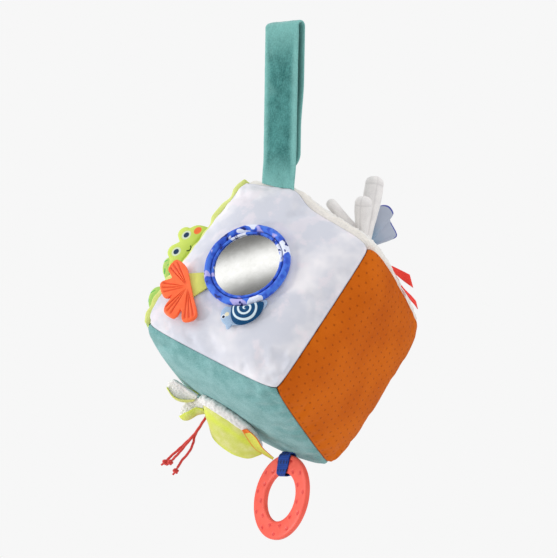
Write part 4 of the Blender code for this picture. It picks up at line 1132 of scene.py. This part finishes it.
for which, leaf in leaves.items():
    leafMesh = padMesh("leaf_" + which, loopOf(leaf["outline"]), Vector(leaf["centre"]) / 1000,
                       standing(leaf["seat"], 0.0006, 0.1), lambda flat, ring, side: leafHalf * rounded(ring, 0.1), 120, 14)
    leafPiece = place("leafFlap_" + which, leafMesh, "leaf_" + which, leafFinish, "leaf_" + which, "leaf_green")
print("frog and leaves made")

# Water lily: three petals of white fleece outside and lime velour inside
petals = {
    "bud": {
        "near": ((-0.40, 0.094, 0.023), (-0.55, 0.18, 0.032), (-0.66, 0.26, 0.058), (-0.735, 0.26, 0.115)),
        "far": ((-0.44, 0.02, 0.080), (-0.53, 0.04, 0.158), (-0.62, 0.08, 0.205), (-0.745, 0.15, 0.195)), "belly": 0.0015,
        "flat": (0.020, 0.028), "hem": 0.0, "turn": 0.90, "start": 0.16, "tip": 0.75, "tuft": 0.0006},
    "side": {
        "near": ((-0.326, 0.095, 0.025), (-0.475, -0.01, 0.055), (-0.548, -0.02, 0.165), (-0.590, -0.08, 0.270)),
        "far": ((-0.315, -0.10, 0.115), (-0.370, -0.08, 0.190), (-0.425, -0.08, 0.282), (-0.510, -0.11, 0.325)),
        "belly": 0.001, "flat": (0.014, 0.026), "hem": 0.30, "turn": 0.88, "start": 0.05, "tip": 0.7, "tuft": 0.0008},
    "wide": {
        "near": ((-0.29, 0.13, 0.042), (-0.10, 0.15, 0.047), (0.12, 0.07, 0.048), (0.33, -0.10, 0.058), (0.45, -0.28, 0.095)),
        "far": ((-0.225, -0.19, 0.190), (-0.11, -0.27, 0.300), (0.08, -0.36, 0.325), (0.28, -0.44, 0.285), (0.42, -0.44, 0.170)),
        "belly": 0.002, "flat": (0.026, 0.054), "hem": 0.13, "turn": 1.0, "start": 0.05, "tip": 0.45, "tuft": 0.0013},
}
petalCloth = {"gap": 0.0003, "fleece": 0.0024, "lining": 0.0011}
fleeceFinish = Finish("whiteFleece", 0.95, Sheen_Weight=0.12, Sheen_Roughness=0.5, Specular_IOR_Level=0.1)
fleeceCurl = fleeceFinish.speckle(0.0014, 4, 0.65)
fleeceFinish.colour(fleeceFinish.blendColour(fleeceCurl.step(0.2, 0.6), (214, 211, 207), (236, 233, 230)))
fleeceFinish.bump(fleeceCurl, 0.0005, 0.5)
liningFinish = Finish("limeVelour", 0.9, Sheen_Weight=0.2, Sheen_Roughness=0.45, Specular_IOR_Level=0.12)
hemMark = liningFinish.value("ShaderNodeAttribute", markNode, output=2)
liningNap = liningFinish.speckle(0.0008, 3, 0.6)
liningCloud = liningFinish.speckle(0.009, 3, 0.5)
paint = liningFinish.blendColour(liningCloud.step(0.32, 0.68), (212, 218, 104), (230, 228, 160))
paint = liningFinish.blendColour(hemMark * 0.8, paint, (226, 238, 82))
liningFinish.colour(liningFinish.blendColour(liningNap.step(0.25, 0.75) * 0.5 + 0.5, (196, 204, 78), paint))
liningFinish.bump(liningNap * 0.7 + liningCloud * 0.6, 0.0008, 0.7)


def roundTip(surface, share):
    def narrowed(across, along):
        gone = max(0, (along - 0.72) / 0.28)
        return surface(0.5 + (across - 0.5) * math.sqrt(1 - share * gone ** 2), along)
    return narrowed


# A petal's cloth: a soft crease all over, given with its outward way
def creased(surface, across, along):
    base = surface(across, along)
    out = normalAt(surface, across, along)
    fold = 0.0006 * grain(base, 0.011, 21) + 0.0009 * math.sin(math.pi * across) * grain(base, 0.02, 22)
    return base + out * fold * math.sin(math.pi * min(1, along * 3 + 0.2) / 2), out


# One layer turned over an edge: share 0 to 0.7 lies on its side, to 0.85 turns, to 1 lies on the other layer
def turnedOver(surface, side, edge, petal, depth, under):
    near = petalCloth["gap"] + depth / 2
    far = petalCloth["gap"] * 2 + under + depth / 2

    def middle(share, along):
        angle = math.pi * max(0, min(1, (share - 0.7) / 0.15))
        tapered = petal["hem"] * (1 - 0.7 * ease((along - 0.72) / 0.28))
        across = min(1, share / 0.7) - max(0, (share - 0.85) / 0.15) * tapered
        place = mix(1 - edge, edge, mix(petal["start"], petal["turn"], across))
        point, out = creased(surface, place, along)
        way = (surface(edge, along) - surface(1 - edge, along)).normalized()
        lift = mix(near, -far, (1 - math.cos(angle)) / 2)
        point = point + out * side * lift + way * math.sin(angle) * (near + far) / 2
        return point, out * side * math.cos(angle) + way * math.sin(angle)
    return middle


def plainLayer(surface, side, depth):
    def middle(across, along):
        point, out = creased(surface, across, along)
        return point + out * side * (petalCloth["gap"] + depth / 2), out * side
    return middle


def freeEdge(across, along, reach=0.09):
    return max(math.exp(-(edge / reach) ** 2) for edge in (across, 1 - across, 1 - along))


def liningMark(across, along):
    return max(freeEdge(across, along), math.exp(-((across - 0.36) / 0.09) ** 2))


def layerFaces(middle, depth, tuft, hem=0.0):
    def face(sign):
        def surface(across, along):
            edge = min(across, 1 - across, 1 - along, along + 0.06) / 0.10
            full = math.sqrt(max(0.05, 1 - (1 - min(1, max(0, edge))) ** 2))
            point, out = middle(across, along)
            curl = 0.5 + 0.7 * grain(point, 0.0022, 23) + 0.4 * grain(point, 0.0012, 24)
            return point + out * sign * (depth / 2 * full + tuft * curl * full + hem * freeEdge(across, along))
        return surface
    return face(-1), face(1)


for which, petal in petals.items():
    petalSurface = roundTip(betweenRoutes("bottom", petal["near"], petal["far"], petal["belly"]), petal["tip"])
    fleece, lining = petalCloth["fleece"], petalCloth["lining"]
    if which == "wide":
        fleeceMiddle = turnedOver(petalSurface, -1, 0, petal, fleece, lining)
        liningMiddle = plainLayer(petalSurface, 1, lining)
    else:
        fleeceMiddle = plainLayer(petalSurface, -1, fleece)
        liningMiddle = turnedOver(petalSurface, 1, 1, petal, lining, fleece + petal["tuft"])
    fleeceMesh = slabMesh("fleece_" + which, *layerFaces(fleeceMiddle, fleece, petal["tuft"]), 90, 84, petal["flat"])
    fleecePiece = place("petalFleece_" + which, fleeceMesh, which + "_petal", fleeceFinish, which + "_petal_fleece", "white_fleece")
    liningMesh = slabMesh("lining_" + which, *layerFaces(liningMiddle, lining, 0, 0.0004), 60, 60, petal["flat"], liningMark)
    liningPiece = place("petalLining_" + which, liningMesh, which + "_petal", liningFinish, which + "_petal_lining", "lime_velour")
    closeUp(liningPiece, 1)

yellowLeaf = {
    "near": ((0.286, -0.005, 0.126), (0.358, -0.100, 0.168), (0.449, -0.18, 0.209), (0.52, -0.27, 0.205), (0.612, -0.38, 0.200)),
    "far": ((0.354, 0.010, 0.094), (0.457, -0.076, 0.114), (0.534, -0.16, 0.162), (0.57, -0.25, 0.171), (0.617, -0.365, 0.175)),
    "half": 0.0006,
}
yellowFinish = Finish("yellowCotton", 0.82, Sheen_Weight=0.15, Specular_IOR_Level=0.2)
bindMark = yellowFinish.value("ShaderNodeAttribute", markNode, output=2)
yellowWeave = yellowFinish.speckle(0.0008, 3)
paint = yellowFinish.blendColour(yellowWeave.step(0.3, 0.7), (208, 206, 80), (226, 222, 98))
yellowFinish.colour(yellowFinish.blendColour(bindMark.step(0.4, 0.6), paint, (232, 116, 38)))
yellowFinish.bump(yellowWeave + bindMark, 0.00025, 0.7)
yellowSurface = betweenRoutes("bottom", yellowLeaf["near"], yellowLeaf["far"])


def yellowSide(sign):
    def side(across, along):
        depth = yellowLeaf["half"] * (0.35 + 0.65 * math.sqrt(max(0, 1 - abs(2 * across - 1) ** 3)))
        bowed = 0.0007 * math.sin(math.pi * across)
        return yellowSurface(across, along) + normalAt(yellowSurface, across, along) * (bowed + sign * depth)
    return side


def yellowMark(across, along):
    return max(1 if min(across, 1 - across) < 0.075 else 0, 1 if along < 0.10 else 0)


yellowMesh = slabMesh("yellowLeaf", yellowSide(-1), yellowSide(1), 28, 60, (0.008, 0.036), yellowMark)
yellowPiece = place("yellowLeaf", yellowMesh, "yellow_leaf", yellowFinish, "yellow_leaf", "yellow_cotton")
print("water lily made")

# Teething ring on its blue ribbon
ring = {
    "seat": (0.62, -0.57, 0.007), "middle": (0.771, -0.684, 0.459), "facing": Vector((-0.19, -0.97, -0.16)),
    "radius": 0.036, "band": 0.0155, "thickness": 0.0056, "corner": 0.0019, "neck": 0.0025,
    "ribbonWidth": 0.015, "ribbonThickness": 0.0008, "gap": 0.0003, "square": 3.6,
    "dimples": 22, "dimpleLong": 0.0023, "dimpleWide": 0.0015, "dimpleDeep": 0.0006, "rowOffset": 0.0032,
}
ringSeat = sharePoint("bottom", ring["seat"])
ringUp = (ringSeat - sharePoint("bottom", ring["middle"])).normalized()
ringFrame = frameOf(ringSeat, ring["facing"].cross(ringUp), ringUp)
ringDrop = ring["neck"] + ring["radius"]
ringCentre = ringFrame @ Vector((0, 0, -ringDrop))
ringTurn = frameOf(ringCentre, ringFrame.to_3x3().col[0], ringFrame.to_3x3().col[1])
ringMiddle = ring["radius"] - ring["band"] / 2


def ringSection(along):
    angle = 2 * math.pi * along
    power = 2 / ring["square"]
    wide = math.copysign(abs(math.cos(angle)) ** power, math.cos(angle)) * ring["band"] / 2
    high = math.copysign(abs(math.sin(angle)) ** power, math.sin(angle)) * ring["thickness"] / 2
    return wide, high


def ringDimple(across, along):
    wide, high = ringSection(along)
    if abs(high) < ring["thickness"] * 0.42:
        return 0
    place = across * ring["dimples"] + (0.5 if high < 0 else 0)
    row = ring["rowOffset"] * (1 if int(place) % 2 else -1)
    around = (place - int(place) - 0.5) / ring["dimples"] * 2 * math.pi * (ringMiddle + row)
    away = math.hypot(around / ring["dimpleLong"], (wide - row) / ring["dimpleWide"])
    return 1 - ease((away - 0.55) / 0.6)


def ringSurface(across, along):
    bearing = 2 * math.pi * across
    wide, high = ringSection(along)
    high -= math.copysign(ring["dimpleDeep"] * ringDimple(across, along), high)
    reach = ringMiddle + wide
    return ringTurn @ Vector((math.cos(bearing) * reach, math.sin(bearing) * reach, high))


coralFinish = Finish("coralPlastic", 0.45, Specular_IOR_Level=0.28)
dimpleMark = coralFinish.value("ShaderNodeAttribute", markNode, output=2)
coralCloud = coralFinish.speckle(0.018, 3)
paint = coralFinish.blendColour(coralCloud.step(0.3, 0.7), (238, 90, 74), (247, 101, 84))
# Painted shade in the dimples: the dimple mark darkens the coral towards (214, 54, 54)
coralFinish.colour(coralFinish.blendColour(dimpleMark * 0.85, paint, (214, 54, 54)))
coralFinish.bump(coralFinish.speckle(0.0007, 2), 0.00004, 0.5)
coralFinish.rough(coralFinish.speckle(0.006, 2) * 0.14 + 0.34)
ringMesh = gridMesh("teethingRing", ringSurface, 440, 80, (0.2, 0.04), ringDimple, merge=True)
place("teethingRing", ringMesh, "teething_ring", coralFinish, "teething_ring", "coral_plastic")

ribbonHalf = ring["thickness"] / 2 + ring["gap"] + ring["ribbonThickness"] / 2
bandBottom = math.sqrt((ring["radius"] - ring["band"]) ** 2 - (ring["ribbonWidth"] / 2) ** 2)
ribbonBottom = ringDrop - bandBottom + ring["gap"] + ring["ribbonThickness"]
neckHalf = ring["ribbonThickness"] / 2 + ring["gap"]
ribbonTurn = ring["thickness"] / 2
ribbonLoop = (
    (neckHalf, 0), (neckHalf, ring["neck"] / 3), (ribbonHalf, ring["neck"] + ring["corner"]),
    (ribbonHalf, mix(ring["neck"], ribbonBottom, 0.5)), (ribbonHalf, ribbonBottom - ribbonTurn),
    (ribbonHalf - ribbonTurn / 3, ribbonBottom - ribbonTurn / 3), (0, ribbonBottom))
ribbonRoute = [Vector((0, -side, -drop)) for side, drop in ribbonLoop]
ribbonRoute += [Vector((0, side, -drop)) for side, drop in reversed(ribbonLoop[:-1])]


def ringRibbon(across, along):
    spot = smoothRoute(ribbonRoute, along)
    folded = math.exp(-((along - 0.5) / 0.16) ** 2)
    spot.x = mix(-ring["ribbonWidth"] / 2, ring["ribbonWidth"] / 2, across) * (1 - 0.42 * folded) + 0.0026 * folded
    return ringFrame @ spot


blueFinish = grosgrain("blueRibbon", (24, 74, 168), (14, 54, 136), 0.0009, {"pitch": 0.0042, "size": 0.20, "colour": (18, 34, 84)})
ringRibbonMesh = slabMesh("ringRibbon", raised(ringRibbon, -ring["ribbonThickness"] / 2),
                          raised(ringRibbon, ring["ribbonThickness"] / 2), 20, 96, (ring["ribbonWidth"], 0.046))
ringRibbonPiece = place("ringRibbon", ringRibbonMesh, "ring_ribbon", blueFinish, "ring_ribbon", "blue_ribbon")
print("teething ring made")

# Limbs: three stuffed velour arms on the plush, with a cap seam and a side seam
limbs = {
    "left": {"base": (0.38, -0.46, 0.022), "tip": (0.035, -0.66, 0.128), "radius": 0.0054, "cap": 0.0, "flat": 0.82, "seam": 1.3, "neck": 1.2},
    "front": {"base": (0.47, -0.46, 0.034), "tip": (0.397, -0.67, 0.312), "radius": 0.0072, "cap": 0.80, "flat": 1.0, "seam": 4.3, "neck": 0.62},
    "rear": {"base": (0.50, -0.36, 0.035), "tip": (0.27, -0.50, 0.608), "radius": 0.0079, "cap": 0.86, "flat": 1.0, "seam": 4.9, "neck": 0.55},
}
limbFinish = Finish("greyVelour", 0.92, Sheen_Weight=0.35, Sheen_Roughness=0.45, Specular_IOR_Level=0.12)
limbSeam = limbFinish.value("ShaderNodeAttribute", markNode, output=2)
limbNap = limbFinish.speckle(0.0009, 3, 0.6)
limbCloud = limbFinish.speckle(0.008, 3, 0.5)
paint = limbFinish.blendColour((limbNap.step(0.3, 0.7) * 0.5 + limbCloud.step(0.3, 0.7) * 0.5), (224, 221, 220), (243, 240, 238))
limbFinish.colour(limbFinish.blendColour(limbSeam * 0.25, paint, (160, 157, 158)))
limbFinish.bump(limbNap * 0.8 + limbCloud * 0.4, 0.0006, 0.7)


def limbParts(limb):
    base, tip = sharePoint("top", limb["base"]), sharePoint("top", limb["tip"])
    axis = (tip - base).normalized()
    side = axis.orthogonal().normalized()
    other = axis.cross(side)
    radius = limb["radius"]
    neck = radius * limb["neck"]
    length = (tip - base).length + radius + neck

    def marks(across, along):
        seam = math.exp(-(((across * 2 * math.pi - limb["seam"] + math.pi) % (2 * math.pi) - math.pi) * radius / 0.0007) ** 2)
        cap = math.exp(-((along - limb["cap"]) * length / 0.0007) ** 2) if limb["cap"] else 0
        return max(seam * ease((along - 0.12) / 0.1), cap)

    def surface(across, along):
        gone = along
        swell = mix(neck, radius, ease(gone * 1.3))
        tipGone = (gone - 1) * length / (radius * 0.95) + 1
        round_ = math.sqrt(max(0, 1 - max(0, tipGone) ** 2.6)) if gone > 1 - radius * 0.95 / length else 1
        round_ *= math.sqrt(max(0, 1 - max(0, 1 - gone * length / neck) ** 2))
        angle = 2 * math.pi * across
        spot = base + axis * (gone * length - neck)
        wrinkle = 1 + 0.05 * grain(spot + side * math.cos(angle) * 0.01 + other * math.sin(angle) * 0.01, 0.007, 31)
        pinch = 0.10 * math.sin(angle * 5) * (1 - ease(gone / 0.4))
        reach = swell * round_ * (wrinkle + pinch) - 0.00022 * marks(across, along) * round_
        return spot + side * math.cos(angle) * reach * limb["flat"] + other * math.sin(angle) * reach
    return surface, marks, length


for which, limb in limbs.items():
    limbSurface, limbMarks, limbLength = limbParts(limb)
    limbMesh = gridMesh("limb_" + which, limbSurface, 72, 96, (0.04, limbLength), limbMarks,
                        lambda share: share, merge=True)
    limbPiece = place("limbTube_" + which, limbMesh, "limb_" + which, limbFinish, "limb_" + which, "grey_velour")
    closeUp(limbPiece, 1)
print("limbs made")

# Wing and red ribbons behind them
wing = {
    "near": ((0.43, -0.27, 0.010), (0.455, -0.25, 0.010), (0.48, -0.225, 0.010)),
    "far": (
        (0.30, -0.27, 0.420), (0.356, -0.27, 0.510), (0.44, -0.25, 0.555), (0.52, -0.21, 0.525), (0.50, -0.17, 0.455),
        (0.634, -0.065, 0.375), (0.645, -0.14, 0.270)),
    "half": 0.0008, "puff": 0.0008,
}
wingFinish = Finish("wingSatin", 0.6, Sheen_Weight=0.25, Specular_IOR_Level=0.35)
outlineMark = wingFinish.value("ShaderNodeAttribute", markNode, output=2)
wingAcross, _, _ = wingFinish.parts(wingFinish.place(uv=True))
wingTone = (wingAcross / 0.036 + wingFinish.speckle(0.012, 3) * 0.5).step(0.15, 0.95)
paint = wingFinish.blendColour(wingTone, (96, 142, 172), (170, 178, 194))
wingFinish.colour(wingFinish.blendColour(outlineMark.step(0.4, 0.6), paint, (58, 68, 158)))
wingFinish.bump(wingFinish.speckle(0.0008, 3), 0.00012, 0.6)
wingSurface = betweenRoutes("top", wing["near"], wing["far"])


def wingSide(sign):
    def side(across, along):
        edge = min(1 - across, along, 1 - along) / 0.10
        depth = wing["half"] * math.sqrt(max(0.06, 1 - (1 - min(1, edge)) ** 2))
        depth += wing["puff"] * math.sin(math.pi * min(1, across * 0.9 + 0.1)) * math.sin(math.pi * along)
        quilt = 0.0005 * grain(wingSurface(across, along), 0.010, 41)
        return wingSurface(across, along) + normalAt(wingSurface, across, along) * sign * (depth + quilt)
    return side


def wingMark(across, along):
    return 1 if across > 0.962 and (0.18 < along < 0.55 or 0.70 < along < 0.93) else 0


wingMesh = slabMesh("wingFlap", wingSide(-1), wingSide(1), 64, 96, (0.036, 0.03), wingMark)
wingPiece = place("wingFlap", wingMesh, "wing", wingFinish, "wing_flap", "wing_satin")

redRibbons = {
    "upper": {"near": ((0.79, -0.20, 0.008), (0.929, -0.14, 0.089), (1.067, -0.08, 0.146)),
              "far": ((0.85, -0.15, 0.008), (1.00, -0.08, 0.057), (1.165, -0.02, 0.042))},
    "lower": {"near": ((0.855, 0.05, 0.008), (0.951, 0.15, 0.026), (1.106, 0.30, 0.022)),
              "far": ((0.93, 0.08, 0.008), (1.066, 0.20, -0.004), (1.158, 0.34, -0.040))},
}
redFinish = grosgrain("redRibbon", (255, 82, 70), (252, 62, 54), 0.0008)
redHalf = 0.0004
for which, ribbon in redRibbons.items():
    redSurface = betweenRoutes("top", ribbon["near"], ribbon["far"])

    def redSide(sign, surface=redSurface):
        def side(across, along):
            wave = 0.0005 * math.sin(along * 9) * along
            return surface(across, along) + normalAt(surface, across, along) * (wave + sign * redHalf)
        return side
    redMesh = slabMesh("redRibbon_" + which, redSide(-1), redSide(1), 12, 40, (0.010, 0.030))
    redPiece = place("redRibbon_" + which, redMesh, "red_ribbon_" + which, redFinish, "red_ribbon_" + which, "red_ribbon")
    steps = [step / 20 for step in range(21)]
    middles = [redSurface(0.5, step) for step in steps]
    redLength = sum((second - first).length for first, second in zip(middles, middles[1:]))
    redArea = sum((redSurface(1, step) - redSurface(0, step)).cross(second - first).length
                  for step, first, second in zip(steps, middles, middles[1:]))
    print("red ribbon", which, "length", round(redLength, 4), "area", round(redArea, 6))
print("wing and red ribbons made")

# Floor, backdrop and soft light
studio = {
    "floor": -0.62, "reach": 1.3, "pale": (247, 247, 247), "air": (0.70, 0.70, 0.705),
    "bandWay": (-0.445, 0.754, 0.484), "bandShift": 0.003, "bandReach": (0.102, 0.010),
    "scrimDim": (0.17, 0.17, 0.167), "scrimLit": (1.35, 1.35, 1.33),
}
floorMesh = bmesh.new()
bmesh.ops.create_circle(floorMesh, cap_ends=True, segments=96, radius=studio["reach"])
bmesh.ops.translate(floorMesh, verts=floorMesh.verts[:], vec=(0, 0, studio["floor"]))
floor = bpy.data.objects.new("floor", meshOf("floor", floorMesh, False))
scene.collection.objects.link(floor)
floorFinish = Finish("paleFloor", 0.9, Specular_IOR_Level=0.0)
floorX, floorY, _ = floorFinish.parts(floorFinish.place())
reachOut = (floorX * floorX + floorY * floorY).root()
floorFinish.colour((236, 236, 236))
floorFinish.tree.links.new(reachOut.step(studio["reach"] * 0.98, studio["reach"] * 0.35).socket,
                           floorFinish.shader.inputs["Alpha"])
floor.data.materials.append(floorFinish.material)

world = bpy.data.worlds.new("studio")
scene.world = world
world.use_nodes = True
skyTree = world.node_tree


def skyNode(kind, settings, *links):
    made = skyTree.nodes.new(kind)
    for key, value in settings.items():
        setattr(made, key, value)
    for index, link in enumerate(links):
        if isinstance(link, bpy.types.NodeSocket):
            skyTree.links.new(link, made.inputs[index])
        elif link is not None:
            made.inputs[index].default_value = link
    return made.outputs


rays = skyNode("ShaderNodeLightPath", {})
overhead = skyNode("ShaderNodeVectorMath", {"operation": "DOT_PRODUCT"}, skyNode("ShaderNodeTexCoord", {})["Generated"],
                   studio["bandWay"])["Value"]
away = skyNode("ShaderNodeMath", {"operation": "ABSOLUTE"}, skyNode(
    "ShaderNodeMath", {"operation": "ADD"}, overhead, studio["bandShift"])[0])[0]
band = skyNode("ShaderNodeMapRange", {"interpolation_type": "SMOOTHSTEP"}, away, *studio["bandReach"], 0.0, 1.0)[0]


def skyBlend(factor, first, second):
    made = skyNode("ShaderNodeMix", {"data_type": "RGBA"}, factor)
    node = made[2].node
    for socket, colour in ((node.inputs[6], first), (node.inputs[7], second)):
        if isinstance(colour, bpy.types.NodeSocket):
            skyTree.links.new(colour, socket)
        else:
            socket.default_value = (*colour, 1)
    return made[2]


scrim = skyBlend(band, studio["scrimDim"], studio["scrimLit"])
seen = skyNode("ShaderNodeMath", {"operation": "MAXIMUM"}, rays["Is Camera Ray"], rays["Is Transmission Ray"])[0]
air = skyBlend(rays["Is Glossy Ray"], studio["air"], scrim)
skyTree.links.new(skyBlend(seen, air, tint(studio["pale"])), skyTree.nodes["Background"].inputs["Color"])


def softLight(name, place, aim, size, power):
    data = bpy.data.lights.new(name, "AREA")
    data.shape = "DISK"
    data.size = size
    data.energy = power
    item = bpy.data.objects.new(name, data)
    item.location = place
    item.rotation_euler = (Vector(aim) - Vector(place)).to_track_quat("-Z", "Y").to_euler()
    scene.collection.objects.link(item)


softLight("keyLight", (-1.65, -1.45, 0.85), (-0.01, 0.01, -0.25), 1.1, 18)
softLight("lowLight", (-1.3, -1.5, -0.48), (-0.01, 0.01, -0.25), 0.25, 13)
softLight("fillLight", (1.9, 0.2, 0.35), (0, 0, -0.25), 1.3, 8)
softLight("topLight", (0.2, 0.5, 1.9), (0, 0, -0.25), 1.2, 10)
print("studio made")
